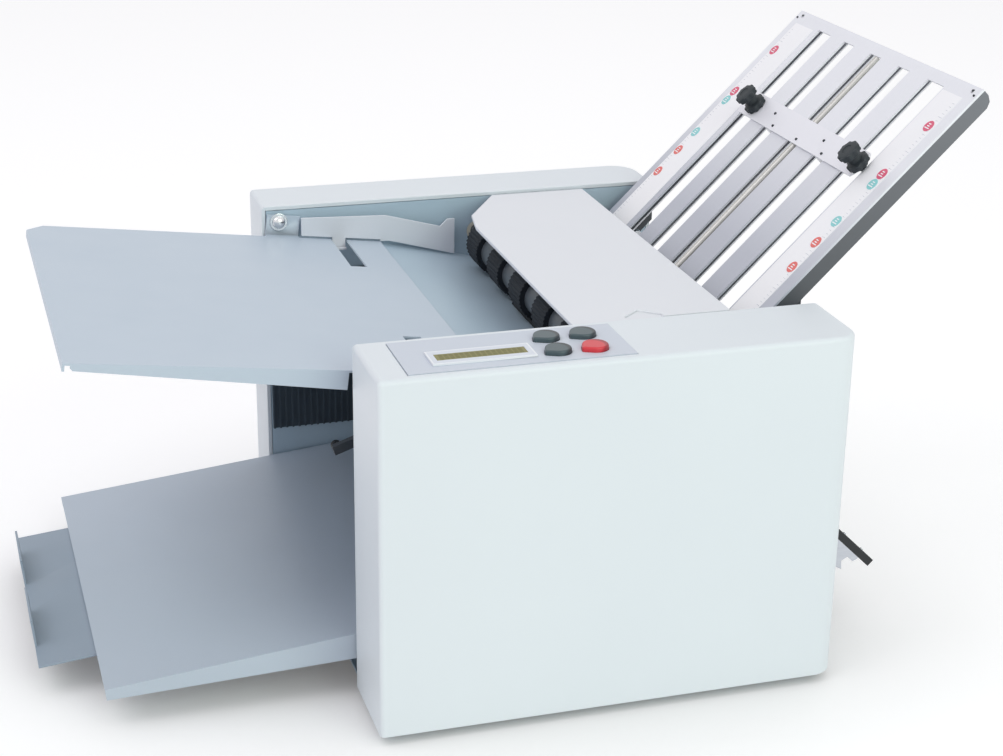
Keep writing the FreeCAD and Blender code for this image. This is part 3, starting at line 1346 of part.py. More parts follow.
make_front_cover()
make_rear_cover()
make_side_plate("front_side_plate", FRONT_OUTER)
make_side_plate("rear_side_plate", REAR_INNER)
make_frame()
make_control_panel()
make_feed_tray()
make_feed_bed()
make_side_guide("rear_side_guide", "1")
make_side_guide("front_side_guide", "-1")
make_feed_cover()
make_rollers()
make_feed_and_exit()
make_motor()
make_exit_tray()
make_exit_inside()
make_stacker()
make_fold_plate("upper")
make_fold_plate("lower")
make_guide_rod()
make_stop("upper")
make_stop("lower")
make_mounting_pins()
make_power()
doc.recompute()

faults = [item.Label for item in doc.Objects if "Invalid" in item.State or "Error" in item.State]
for name, item in nodes.items():
    if item.Shape.isNull() or not item.Shape.isValid():
        faults.append(name)
if faults:
    raise RuntimeError(f"these objects failed: {faults}")

os.makedirs("parts", exist_ok=True)
for name, item in nodes.items():
    item.Shape.exportStep(f"parts/{name}.step")
print(f"{len(nodes)} sub-parts, {sum(len(item.Shape.Solids) for item in nodes.values())} solids")
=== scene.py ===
# %% [markdown]
# # A paper folding machine, dressed for its picture
# The machine's solids are ready: covers, plates, rollers and trays, each at its real size and in its place.
# This lesson gives them their looks. It softens their edges, paints them with procedural finishes, and adds what is
# too fine for a solid: scale marks, screw heads, grips and display cells. The solids come in from model.glb, and
# model.json says which body each piece moves with.

# %% Load the machine
import json
import math

import bmesh
import bpy
from mathutils import Matrix, Vector


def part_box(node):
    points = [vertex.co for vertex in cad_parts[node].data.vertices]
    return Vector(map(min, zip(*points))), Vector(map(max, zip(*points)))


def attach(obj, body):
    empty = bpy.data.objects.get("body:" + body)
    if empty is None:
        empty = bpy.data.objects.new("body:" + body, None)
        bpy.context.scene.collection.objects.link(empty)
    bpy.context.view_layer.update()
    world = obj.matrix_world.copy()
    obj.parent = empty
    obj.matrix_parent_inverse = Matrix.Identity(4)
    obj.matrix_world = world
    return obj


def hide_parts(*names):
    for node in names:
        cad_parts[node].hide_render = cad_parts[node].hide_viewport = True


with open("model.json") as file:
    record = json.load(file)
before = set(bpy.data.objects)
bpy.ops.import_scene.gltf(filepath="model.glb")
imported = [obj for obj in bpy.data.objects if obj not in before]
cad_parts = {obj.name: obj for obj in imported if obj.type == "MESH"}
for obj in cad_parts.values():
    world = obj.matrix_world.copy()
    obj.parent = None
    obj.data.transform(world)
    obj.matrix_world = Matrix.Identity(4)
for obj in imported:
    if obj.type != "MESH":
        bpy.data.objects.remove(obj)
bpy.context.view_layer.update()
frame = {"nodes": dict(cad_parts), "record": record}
NODES = frame["nodes"]
BODY_OF = {node: body for body, members in frame["record"]["behaviour"]["bodies"].items() for node in members}
MM = 0.001

# %% [markdown]
# The camera comes first, because everything is judged through it. It stands a little left of the middle and well
# above the machine, as in the photograph. A long lens keeps the front cover's edges nearly parallel. The camera could
# be aimed by eye, but its place, turn and lens were worked out from the straight edges of the covers, so they are
# written here as plain values: the yaw turns towards the right, the pitch looks down, and the roll is under a degree.

# %% Camera
CAMERA_PLACE = Vector((-349.63, -1209.7, 640.9)) * MM
CAMERA_YAW = math.radians(17.13)
CAMERA_PITCH = math.radians(21.25)
CAMERA_ROLL = math.radians(0.83)
PICTURE_WIDTH = 1003
FOCAL_PIXELS = 1980.7

lens = bpy.data.cameras.new("camera")
lens.sensor_width = 36
lens.lens = FOCAL_PIXELS / PICTURE_WIDTH * lens.sensor_width
lens.clip_end = 60
camera = bpy.data.objects.new("camera", lens)
bpy.context.scene.collection.objects.link(camera)
ahead = Vector((math.sin(CAMERA_YAW) * math.cos(CAMERA_PITCH), math.cos(CAMERA_YAW) * math.cos(CAMERA_PITCH),
                -math.sin(CAMERA_PITCH)))
level = Vector((math.cos(CAMERA_YAW), -math.sin(CAMERA_YAW), 0))
above = level.cross(ahead)
across = level * math.cos(CAMERA_ROLL) + above * math.sin(CAMERA_ROLL)
upward = above * math.cos(CAMERA_ROLL) - level * math.sin(CAMERA_ROLL)
camera.matrix_world = Matrix.LocRotScale(CAMERA_PLACE, Matrix((across, upward, -ahead)).transposed(), None)
bpy.context.scene.camera = camera
print("lens", round(lens.lens, 1), "mm")

# %% [markdown]
# Blender builds a finish from shader nodes. Placing and linking them one by one makes long code that hides the idea,
# so two small helpers carry the work. `Wire` wraps one socket and lets Python's own signs do maths on it, so that
# `1 - mask` adds the Math node by itself. `Finish` is one material: its `node` method adds any node, with its settings
# first and its sockets after them.

# %% Wires that do maths
class Wire:
    """A number in a shader tree that Python's operators work on."""

    def __init__(self, finish, socket):
        self.finish = finish
        self.socket = socket

    def maths(self, operation, first, second):
        return self.finish.node("Math", {"operation": operation}, {0: first, 1: second})

    def __add__(self, other):
        return self.maths("ADD", self, other)

    def __radd__(self, other):
        return self.maths("ADD", other, self)

    def __sub__(self, other):
        return self.maths("SUBTRACT", self, other)

    def __rsub__(self, other):
        return self.maths("SUBTRACT", other, self)

    def __mul__(self, other):
        return self.maths("MULTIPLY", self, other)

    def __rmul__(self, other):
        return self.maths("MULTIPLY", other, self)

    def __gt__(self, other):
        return self.maths("GREATER_THAN", self, other)

    def __lt__(self, other):
        return self.maths("LESS_THAN", self, other)

    def __abs__(self):
        return self.maths("ABSOLUTE", self, 0.0)


# %% One finish
class Finish:
    """A material whose nodes are added by one method."""

    def __init__(self, name, roughness=0.5, metallic=0.0, **fixed):
        self.material = bpy.data.materials.new(name)
        self.material.use_nodes = True
        self.tree = self.material.node_tree
        self.shader = self.tree.nodes["Principled BSDF"]
        self.set("Roughness", roughness)
        self.set("Metallic", metallic)
        for field, number in fixed.items():
            self.set(field.replace("_", " "), number)
        self.place = self.node("TexCoord", {}, {}, "Object")

    def set(self, field, value):
        """Gives a socket of the shader a plain value or a wire."""
        if isinstance(value, Wire):
            self.tree.links.new(value.socket, self.shader.inputs[field])
        else:
            self.shader.inputs[field].default_value = value

    def node(self, kind, settings, sockets, output=0):
        """Adds a shader node and gives one of its outputs as a wire."""
        made = self.tree.nodes.new("ShaderNode" + kind)
        for field, setting in settings.items():
            setattr(made, field, setting)
        for field, value in sockets.items():
            if isinstance(value, Wire):
                self.tree.links.new(value.socket, made.inputs[field])
            else:
                made.inputs[field].default_value = value
        return Wire(self, made.outputs[output])

    def noise(self, scale, detail=3.0, place=None):
        """A soft random pattern between 0 and 1, its scale in features for each metre."""
        return self.node("TexNoise", {}, {"Vector": place or self.place, "Scale": scale, "Detail": detail})

    def axis(self, name, place=None):
        """One coordinate of a point on the piece."""
        return self.node("SeparateXYZ", {}, {0: place or self.place}, name)

    def turned(self, angle, stretch):
        """The piece's coordinates turned about Y and stretched, for a pattern that follows a sloping plate."""
        return self.node("Mapping", {}, {"Vector": self.place, "Rotation": (0.0, angle, 0.0), "Scale": stretch})

    def blend(self, factor, first, second):
        """A colour between two others."""
        sockets = {0: factor, 6: first, 7: second}
        return self.node("Mix", {"data_type": "RGBA"}, sockets, 2)

    def eased(self, value, low, high):
        """0 below one bound, 1 above the other and an even rise between."""
        return self.node("MapRange", {}, {0: value, 1: low, 2: high})

    def relief(self, height, strength, depth):
        """Raises and lowers the surface by a pattern."""
        bump = self.node("Bump", {}, {"Strength": strength, "Distance": depth, "Height": height})
        self.set("Normal", bump)


def shade(red, green, blue):
    """An eight-bit colour of the photograph as Blender's linear colour."""
    levels = [part / 255 for part in (red, green, blue)]
    return tuple(part / 12.92 if part < 0.04 else ((part + 0.055) / 1.055) ** 2.4 for part in levels) + (1.0,)


# %% [markdown]
# The covers, the panel and the feed cover are moulded plastic. Its skin isn't smooth: the mould is spark-eroded, which
# leaves a fine even grain that makes it satin. A grain like that is too fine to model, so a Bump node raises it from
# noise of about a millimetre. A second, very wide noise changes the colour by a hair, as handling and light do.

# %% Moulded plastic
def moulded(name, colour, deep, roughness=0.45, grain=1300.0, height=0.06):
    """Satin moulded plastic with an eroded grain, faint tone changes and slightly worn gloss."""
    paint = Finish(name, Coat_Weight=0.04, Coat_Roughness=0.35)
    tone = paint.noise(7.0, 2.0)
    paint.set("Base Color", paint.blend(tone, colour, deep))
    wear = paint.noise(55.0, 4.0)
    paint.set("Roughness", wear * 0.12 + (roughness - 0.06))
    paint.relief(paint.noise(grain, 2.0), height, 0.0002)
    return paint


cover_white = moulded("cover_white", shade(227, 233, 237), shade(222, 228, 233))
lid_white = moulded("lid_white", shade(228, 230, 235), shade(224, 227, 232))
gear_plastic = moulded("gear_plastic", shade(226, 222, 206), shade(206, 200, 182), 0.35, 700.0, 0.03)
knob_black = moulded("knob_black", shade(44, 52, 58), shade(28, 34, 39), 0.6, 1800.0, 0.08)
inlet_black = moulded("inlet_black", shade(30, 32, 35), shade(22, 24, 27), 0.5, 1500.0, 0.1)
pulley_grey = moulded("pulley_grey", shade(92, 98, 104), shade(72, 78, 84), 0.4, 1200.0, 0.05)
print("moulded finishes ready")

# %% [markdown]
# Trays, guides and side plates are folded sheet steel with powder coat. Powder melts into a skin with a soft wave,
# called orange peel, and a fine speckle. Two noises of different size, added together, give both.

# %% Powder coat
def powder(name, colour, deep, roughness=0.42):
    """Powder-coated sheet: orange peel, fine speckle and a little rubbed gloss."""
    paint = Finish(name, Coat_Weight=0.08, Coat_Roughness=0.25)
    speckle = paint.noise(1900.0, 2.0)
    drift = paint.noise(9.0, 2.0)
    paint.set("Base Color", paint.blend(speckle * 0.45 + drift * 0.55, colour, deep))
    rubbed = paint.noise(40.0, 5.0)
    paint.set("Roughness", rubbed * 0.16 + (roughness - 0.08))
    paint.relief(paint.noise(420.0, 1.0) * 0.7 + speckle * 0.3, 0.12, 0.0002)
    return paint


tray_blue = powder("tray_blue", shade(192, 204, 216), shade(184, 197, 210))
exit_blue = powder("exit_blue", shade(190, 201, 212), shade(182, 193, 205))
guide_lilac = powder("guide_lilac", shade(222, 225, 232), shade(216, 219, 227))
plate_blue = powder("plate_blue", shade(184, 203, 216), shade(175, 195, 209))
extension_blue = powder("extension_blue", shade(150, 164, 178), shade(141, 156, 171))
charcoal = powder("charcoal", shade(52, 57, 63), shade(42, 46, 52), 0.4)
print("powder coats ready")

# %% [markdown]
# The fold plates are satin aluminium. Brushing leaves fine lines that run along the plate, and a noise stretched far
# along one axis looks just so. The plates slope, so their coordinates are turned about Y first, or the lines would
# cross them at an angle. The upper plate's turned-down flanges are painted dark as shade and dark reflection, and
# everything below the plate's face takes that tone.

# %% Brushed plates
UPPER_TILT = math.radians(44.5)
LOWER_TILT = math.radians(-44.3)


def brushed(name, tilt, colour, deep, metallic=0.35, roughness=0.42):
    """Satin brushed metal whose lines follow a sloping plate."""
    paint = Finish(name)
    lines = paint.noise(1.0, 4.0, paint.turned(tilt, (14.0, 2600.0, 500.0)))
    cloud = paint.noise(12.0, 3.0)
    paint.set("Base Color", paint.blend(lines * 0.6 + cloud * 0.4, colour, deep))
    paint.set("Metallic", metallic)
    paint.set("Roughness", lines * 0.18 + (roughness - 0.09))
    paint.relief(lines, 0.05, 0.0001)
    return paint


upper_face = brushed("upper_face", UPPER_TILT, shade(232, 233, 239), shade(222, 223, 231), 0.15)
lower_face = brushed("lower_face", LOWER_TILT, shade(190, 193, 202), shade(172, 176, 186))
stop_metal = brushed("stop_metal", UPPER_TILT, shade(242, 242, 247), shade(236, 236, 242), 0.1)
lower_stop_metal = brushed("lower_stop_metal", LOWER_TILT, shade(204, 205, 212), shade(188, 190, 198))
rod_steel = brushed("rod_steel", UPPER_TILT, shade(206, 204, 200), shade(180, 178, 175), 0.5, 0.35)
print("brushed finishes ready")

# %% [markdown]
# Shafts and rods are turned steel: the tool leaves rings round them. Chrome has no rings, only fine wiping marks that
# show in its gloss. Rubber is dark and matt, and holds dust in its grain. Each roller is one solid, rubber on its
# middle and bare steel at its journals, so its finish changes where the rubber ends.

# %% Steel, chrome and rubber
def turned_steel(name, colour, deep, roughness=0.28):
    """Bright steel with fine rings from the lathe."""
    metal = Finish(name, metallic=1.0)
    rings = metal.noise(1.0, 3.0, metal.turned(0.0, (60.0, 3000.0, 60.0)))
    stain = metal.noise(35.0, 4.0)
    metal.set("Base Color", metal.blend(stain, colour, deep))
    metal.set("Roughness", rings * 0.2 + stain * 0.1 + (roughness - 0.15))
    metal.relief(rings, 0.06, 0.0001)
    return metal


def rubber(name, colour, deep, grain=900.0):
    """Matt rubber with a dusty grain."""
    skin = Finish(name, Specular_IOR_Level=0.3)
    dust = skin.noise(140.0, 5.0)
    skin.set("Base Color", skin.blend(dust, colour, deep))
    skin.set("Roughness", dust * 0.2 + 0.6)
    skin.relief(skin.noise(grain, 3.0), 0.2, 0.0002)
    return skin


ROLLER_MIDDLE = 0.007
RUBBER_HALF_LENGTH = 0.1451


def roller_finish(name):
    """Rubber on the middle of a roller and turned steel past its ends."""
    skin = Finish(name)
    bare = abs(skin.axis("Y") - ROLLER_MIDDLE) > RUBBER_HALF_LENGTH
    rings = skin.noise(1.0, 3.0, skin.turned(0.0, (60.0, 3000.0, 60.0)))
    dust = skin.noise(140.0, 5.0)
    dark = skin.blend(dust, shade(34, 37, 41), shade(52, 56, 61))
    skin.set("Base Color", skin.blend(bare, dark, shade(178, 180, 184)))
    skin.set("Metallic", bare)
    skin.set("Roughness", 0.7 - bare * 0.42 + rings * 0.1)
    skin.relief(rings * 0.5 + dust * 0.5, 0.12, 0.0001)
    return skin


steel = turned_steel("turned_steel", shade(196, 198, 202), shade(168, 171, 177))
chrome = turned_steel("chrome", shade(226, 226, 228), shade(210, 211, 214), 0.2)
black_rubber = rubber("black_rubber", shade(24, 27, 30), shade(40, 44, 48))
wheel_rubber = rubber("wheel_rubber", shade(22, 26, 32), shade(36, 42, 50))
belt_rubber = rubber("belt_rubber", shade(30, 30, 32), shade(46, 46, 49), 1500.0)
roller_rubber = roller_finish("roller_rubber")
liner_black = rubber("liner_black", shade(60, 70, 79), shade(74, 85, 95), 600.0)
print("metals and rubbers ready")

# %% [markdown]
# A solid from CAD has perfectly sharp edges, and no real edge is. Even a sheared sheet has a tiny radius that catches
# a line of light. `dressed` copies a piece, merges its loose triangles, and rounds its outer edges. Long flat faces
# are dissolved first, because a bevel runs cleanly only along whole edges. Smooth shading alone would bend the light
# across a whole flat face, so the Weighted Normal modifier lets the largest face decide the direction at each corner.

# %% Rounding the edges of a piece
def shaded(piece):
    """Smooths a piece so that its small bevels blend and its large faces stay flat."""
    piece.data.shade_smooth()
    piece.data.set_sharp_from_angle(angle=math.radians(50))
    weights = piece.modifiers.new("weights", "WEIGHTED_NORMAL")
    weights.keep_sharp = True
    bpy.context.view_layer.update()
    ready = piece.evaluated_get(bpy.context.evaluated_depsgraph_get())
    mesh = bpy.data.meshes.new_from_object(ready)
    mesh.name = piece.name
    piece.modifiers.clear()
    piece.data = mesh
    return piece


def plain_mesh(name, build, finish, node=None, body=None, replaced=()):
    """Makes an object of a bmesh, paints it and lets it ride on its body."""
    mesh = bpy.data.meshes.new(name)
    build.to_mesh(mesh)
    build.free()
    piece = bpy.data.objects.new(name, mesh)
    bpy.context.scene.collection.objects.link(piece)
    mesh.materials.append(finish.material)
    return carried(shaded(piece), node, body, replaced)


def carried(piece, node=None, body=None, replaced=()):
    """Rides a finished piece on a body and says which nodes it stands for."""
    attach(piece, body or BODY_OF[node])
    if replaced:
        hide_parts(*replaced)
    return piece


def merged(node):
    """A node's mesh with its loose triangles joined and its flat faces whole."""
    build = bmesh.new()
    build.from_mesh(NODES[node].data)
    bmesh.ops.remove_doubles(build, verts=build.verts, dist=2e-6)
    bmesh.ops.dissolve_limit(build, angle_limit=math.radians(0.5), verts=build.verts, edges=build.edges)
    return build


def outer_edges(build, wanted):
    """The convex edges of a mesh that turn by more than 30 degrees and pass a test."""
    picked = []
    for edge in build.edges:
        if edge.is_manifold and edge.is_convex and edge.calc_face_angle(0) > math.radians(30):
            if wanted is None or wanted(edge):
                picked.append(edge)
    return picked


def dressed(node, finish, width=0.3, segments=2, wanted=None):
    """A copy of a node with rounded outer edges and its finish, which stands for the node."""
    build = merged(node)
    edges = outer_edges(build, wanted)
    bmesh.ops.bevel(build, geom=edges, offset=width * MM, offset_type="OFFSET", segments=segments, profile=0.5,
                    affect="EDGES", clamp_overlap=True)
    return plain_mesh(node + "_finished", build, finish, node=node, replaced=(node,))


# %% [markdown]
# Now the two large covers. Their top and corner radii are in the solids, so only the rim that was left sharp is
# rounded, by less than a millimetre. The panel is a separate plate in a shallow recess, darker than the cover.

# %% Covers
for node in ("front_cover", "rear_cover"):
    dressed(node, cover_white, 0.5)
dressed("feed_cover", lid_white, 0.9, 3)
print("covers dressed")

# %% [markdown]
# The control panel has a raised frame round the display. On the real plate the frame is a shade paler than the
# blue-grey plastic; its outer edge, where light catches it, is painted nearly white as a highlight. One finish paints
# all three: a mask is 1 inside a rectangle and is made of two comparisons on the object's coordinates, and a smaller
# rectangle leaves the edge.

# %% Control panel
BEZEL_LOW = Vector((-75.93, -188.7, 0)) * MM
BEZEL_HIGH = Vector((-13.03, -167.9, 0)) * MM
PANEL_TOP = 0.2364


def panel_finish():
    """Blue-grey panel with a pale raised frame whose outer edge is painted near white as a highlight."""
    paint = Finish("panel_grey", Coat_Weight=0.05, Coat_Roughness=0.3)
    middle = (BEZEL_LOW + BEZEL_HIGH) / 2
    half = (BEZEL_HIGH - BEZEL_LOW) / 2
    off_x = abs(paint.axis("X") - middle.x)
    off_y = abs(paint.axis("Y") - middle.y)
    frame_face = (off_x < half.x + 0.1 * MM) * (off_y < half.y + 0.1 * MM) * (paint.axis("Z") > PANEL_TOP + 0.3 * MM)
    inside = (off_x < half.x - 1.0 * MM) * (off_y < half.y - 1.0 * MM)
    tone = paint.noise(9.0, 2.0)
    grey = paint.blend(tone, shade(207, 213, 223), shade(200, 207, 218))
    # The outer millimetre of the frame is painted near white as a highlight.
    frame_tone_and_painted_highlight = paint.blend(inside, shade(236, 239, 243), shade(218, 223, 232))
    paint.set("Base Color", paint.blend(frame_face, grey, frame_tone_and_painted_highlight))
    paint.set("Roughness", paint.noise(60.0, 4.0) * 0.1 + 0.42)
    paint.relief(paint.noise(1400.0, 2.0), 0.05, 0.0002)
    return paint


panel_grey = panel_finish()
dressed("control_panel", panel_grey, 0.35)

# %% [markdown]
# Each key is a drop-shaped cap. Its top is domed by touch and light catches its rim, so the bevel is wide and has many
# steps, and only the edges of the top face get it. The dish in a cap is too shallow to model, so the shade along its
# far right side is painted into the cap's colour: a dark crescent beyond a circle that lies a little to the near left.

# %% Push buttons
KEYS = ("button_front_left", "button_front_right", "button_rear_left", "button_rear_right")


def key_finish(node, colour, deep, dark):
    """Moulded cap with painted shade, a dark crescent, along its far right side."""
    paint = Finish(node + "_paint", Coat_Weight=0.04, Coat_Roughness=0.35)
    low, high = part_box(node)
    middle = (low + high) / 2
    near_left = (middle.x - 2.6 * MM, middle.y - 2.0 * MM, high.z)
    reach = paint.node("VectorMath", {"operation": "DISTANCE"}, {0: paint.place, 1: near_left}, 1)
    # Painted shade: the cap turns dark beyond a circle a little to the near left of its middle.
    painted_shade_crescent = paint.eased(reach, 7.4 * MM, 8.8 * MM)
    plastic = paint.blend(paint.noise(7.0, 2.0), colour, deep)
    paint.set("Base Color", paint.blend(painted_shade_crescent, plastic, dark))
    paint.set("Roughness", paint.noise(55.0, 4.0) * 0.12 + 0.3)
    paint.relief(paint.noise(1600.0, 2.0), 0.05, 0.0002)
    return paint


def at_height(top):
    """A test for edges that lie in a level face."""
    return lambda edge: all(abs(vert.co.z - top) < 1e-5 for vert in edge.verts)


for node in KEYS:
    # The third tone of each key is the colour of its painted shade.
    key_tones_and_painted_shade = (shade(74, 92, 98), shade(58, 74, 80), shade(36, 46, 52))
    if node == "button_front_right":
        key_tones_and_painted_shade = (shade(224, 62, 72), shade(206, 48, 58), shade(158, 26, 38))
    dressed(node, key_finish(node, *key_tones_and_painted_shade), 1.3, 4, at_height(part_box(node)[1].z))
print("keys domed")

# %% [markdown]
# Repeating things are Geometry Nodes work. A tree is a recipe with named inputs, and one recipe serves many pieces.
# `Recipe` builds such a tree in code. Its inputs are set on the modifier by the socket's identifier, because names can
# repeat. `cooked` runs the recipe on an object, keeps the result as a plain mesh, and takes the modifier off again.

# %% A small builder for Geometry Nodes
class Recipe:
    """A Geometry Nodes tree that ends in Realize Instances and Set Material."""

    def __init__(self, name, **inputs):
        self.tree = bpy.data.node_groups.new(name, "GeometryNodeTree")
        self.tree.interface.new_socket("Geometry", in_out="OUTPUT", socket_type="NodeSocketGeometry")
        self.tree.interface.new_socket("Geometry", in_out="INPUT", socket_type="NodeSocketGeometry")
        self.names = {}
        for word, kind in inputs.items():
            made = self.tree.interface.new_socket(word, in_out="INPUT", socket_type="NodeSocket" + kind)
            self.names[word] = made.identifier
        made = self.tree.interface.new_socket("finish", in_out="INPUT", socket_type="NodeSocketMaterial")
        self.names["finish"] = made.identifier
        self.entry = self.tree.nodes.new("NodeGroupInput")

    def given(self, word):
        """The socket of a named input."""
        return self.entry.outputs[word]

    def node(self, kind, settings=None, sockets=None, output=0):
        """Adds a node and gives one of its outputs."""
        made = self.tree.nodes.new(kind)
        for field, setting in (settings or {}).items():
            setattr(made, field, setting)
        for field, value in (sockets or {}).items():
            if isinstance(value, bpy.types.NodeSocket):
                self.tree.links.new(value, made.inputs[field])
            else:
                made.inputs[field].default_value = value
        return made.outputs[output]

    def maths(self, operation, first, second=0.0):
        """A Math node."""
        return self.node("ShaderNodeMath", {"operation": operation}, {0: first, 1: second})

    def vector(self, x=0.0, y=0.0, z=0.0):
        """A vector of three numbers or sockets."""
        return self.node("ShaderNodeCombineXYZ", {}, {0: x, 1: y, 2: z})

    def finish(self, shape):
        """Ends the tree."""
        real = self.node("GeometryNodeRealizeInstances", {}, {0: shape})
        painted_shape = self.node("GeometryNodeSetMaterial", {}, {0: real, 2: self.given("finish")})
        self.tree.links.new(painted_shape, self.tree.nodes.new("NodeGroupOutput").inputs[0])
        return self


def cooked(name, recipe, points, turn, finish, **values):
    """Runs a recipe on points and gives a plain mesh object, moved to its place."""
    seed = bpy.data.meshes.new(name + "_points")
    seed.from_pydata([tuple(point) for point in points], [], [])
    holder = bpy.data.objects.new(name + "_holder", seed)
    bpy.context.scene.collection.objects.link(holder)
    modifier = holder.modifiers.new("recipe", "NODES")
    modifier.node_group = recipe.tree
    for word, value in {**values, "finish": finish.material}.items():
        modifier[recipe.names[word]] = value
    bpy.context.view_layer.update()
    ready = holder.evaluated_get(bpy.context.evaluated_depsgraph_get())
    mesh = bpy.data.meshes.new_from_object(ready)
    mesh.name = name
    holder.modifiers.clear()
    bpy.data.objects.remove(holder)
    mesh.materials.clear()
    mesh.materials.append(finish.material)
    mesh.polygons.foreach_set("material_index", [0] * len(mesh.polygons))
    mesh.transform(turn)
    piece = bpy.data.objects.new(name, mesh)
    bpy.context.scene.collection.objects.link(piece)
    return piece


# %% [markdown]
# The first recipe makes a fluted wheel: a cylinder whose points are pushed in, two of every four, so that grooves run
# along it. It serves the rubber feed wheels, whose grooves grip the sheet, and the grip rims of the clamp knobs. One
# wheel is placed on each point that the recipe is given.

# %% Recipe for fluted wheels
def wheel_recipe():
    """A grooved cylinder on each point, its axis along Z."""
    recipe = Recipe("fluted_wheel", radius="Float", length="Float", flutes="Int", groove="Float")
    count = recipe.maths("MULTIPLY", recipe.given("flutes"), 4.0)
    body = recipe.node("GeometryNodeMeshCylinder", {"fill_type": "NGON"}, {
        "Vertices": count, "Radius": recipe.given("radius"), "Depth": recipe.given("length")})
    number = recipe.node("GeometryNodeInputIndex")
    inner = recipe.maths("GREATER_THAN", recipe.maths("MODULO", number, 4.0), 1.5)
    share = recipe.maths("DIVIDE", recipe.given("groove"), recipe.given("radius"))
    scale = recipe.maths("SUBTRACT", 1.0, recipe.maths("MULTIPLY", inner, share))
    place = recipe.node("GeometryNodeInputPosition")
    pushed = recipe.node("ShaderNodeVectorMath", {"operation": "MULTIPLY"}, {
        0: place, 1: recipe.vector(scale, scale, 1.0)})
    shaped = recipe.node("GeometryNodeSetPosition", {}, {"Geometry": body, "Position": pushed})
    rows = recipe.node("GeometryNodeInstanceOnPoints", {}, {"Points": recipe.given("Geometry"), "Instance": shaped})
    return recipe.finish(rows)


FLUTED = wheel_recipe()


def softened(piece, width, segments=2, angle=30):
    """Rounds the sharp edges of a finished mesh and smooths it."""
    build = bmesh.new()
    build.from_mesh(piece.data)
    bmesh.ops.remove_doubles(build, verts=build.verts, dist=1e-6)
    edges = [edge for edge in build.edges
             if edge.is_manifold and edge.is_convex and edge.calc_face_angle(0) > math.radians(angle)]
    bmesh.ops.bevel(build, geom=edges, offset=width * MM, offset_type="OFFSET", segments=segments, profile=0.5,
                    affect="EDGES", clamp_overlap=True)
    build.to_mesh(piece.data)
    build.free()
    return shaded(piece)


# %% [markdown]
# Five rubber wheels pull the top sheet off the stack. They are the dark shapes under the feed cover's edge. The points
# of the recipe lie along the shaft, and the wheels' axis is turned from Z to the shaft's Y.

# %% Feed wheels
ABOUT_X = Matrix.Rotation(math.radians(90), 4, "X")


def wheel_row(name, node, count, pitch, radius, length, flutes, groove, finish):
    """A row of fluted wheels on a shaft, in place of the solid ones."""
    low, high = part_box(node)
    middle = (low + high) / 2
    points = [(0, 0, (index - (count - 1) / 2) * pitch * MM) for index in range(count)]
    row = cooked(name, FLUTED, points, Matrix.Translation(middle) @ ABOUT_X, finish,
                 radius=radius * MM, length=length * MM, flutes=flutes, groove=groove * MM)
    softened(row, 0.25, 1, 50)
    return carried(row, node, replaced=(node,))


wheel_row("feed_wheels_fluted", "feed_wheels", 5, 52, 17, 26, 36, 0.6, wheel_rubber)
wheel_row("exit_wheels_fluted", "exit_wheels", 4, 76, 10, 18, 24, 0.4, black_rubber)
print("wheel rows made")

# %% [markdown]
# A clamp knob is a spool: a thick base, a narrow waist and a round head, both discs with grip flutes. The flutes come
# from the same recipe, with one point for the base and one for the head. The plain waist and the threaded shank are
# turned from a profile, a list of radius and height, which is the usual way to make anything round.

# %% Turning a profile
def turned_build(profile, steps=48):
    """A solid of revolution about Z from points of radius and height, from one pole to the other."""
    build = bmesh.new()
    rings = []
    for radius, height in profile:
        if radius < 1e-9:
            rings.append([build.verts.new((0, 0, height * MM))])
        else:
            rings.append([build.verts.new((radius * MM * math.cos(math.tau * k / steps),
                                           radius * MM * math.sin(math.tau * k / steps), height * MM))
                          for k in range(steps)])
    for low, high in zip(rings, rings[1:]):
        for k in range(steps):
            after = (k + 1) % steps
            corners = [low[k % len(low)], low[after % len(low)], high[after % len(high)], high[k % len(high)]]
            build.faces.new(list(dict.fromkeys(corners)))
    bmesh.ops.recalc_face_normals(build, faces=build.faces)
    return build


# %% Places on the fold plates
UPPER_EDGE = Vector((297.77, 0, 363.4)) * MM
LOWER_START = Vector((132.27, 0, 137.2)) * MM


def on_upper(down, y, up=0.0):
    """A place on the upper plate, in millimetres down from its top edge, across, and up from its face."""
    along = Vector((-math.cos(UPPER_TILT), 0, -math.sin(UPPER_TILT)))
    normal = Vector((-math.sin(UPPER_TILT), 0, math.cos(UPPER_TILT)))
    return UPPER_EDGE + along * down * MM + normal * up * MM + Vector((0, (y - 204) * MM, 0))


def on_lower(along, y, up=0.0):
    """A place on the lower plate, in millimetres from its nip end, across, and up from its face."""
    way = Vector((math.cos(LOWER_TILT), 0, math.sin(LOWER_TILT)))
    normal = Vector((-math.sin(LOWER_TILT), 0, math.cos(LOWER_TILT)))
    return LOWER_START + way * along * MM + normal * up * MM + Vector((0, (y - 204) * MM, 0))


def plate_turn(tilt):
    """The turn that lays a flat piece on a sloping plate."""
    return Matrix.Rotation(-tilt, 4, "Y")


# %% Clamp knobs
KNOB_RADIUS = 8.2
SEAT = 2.4


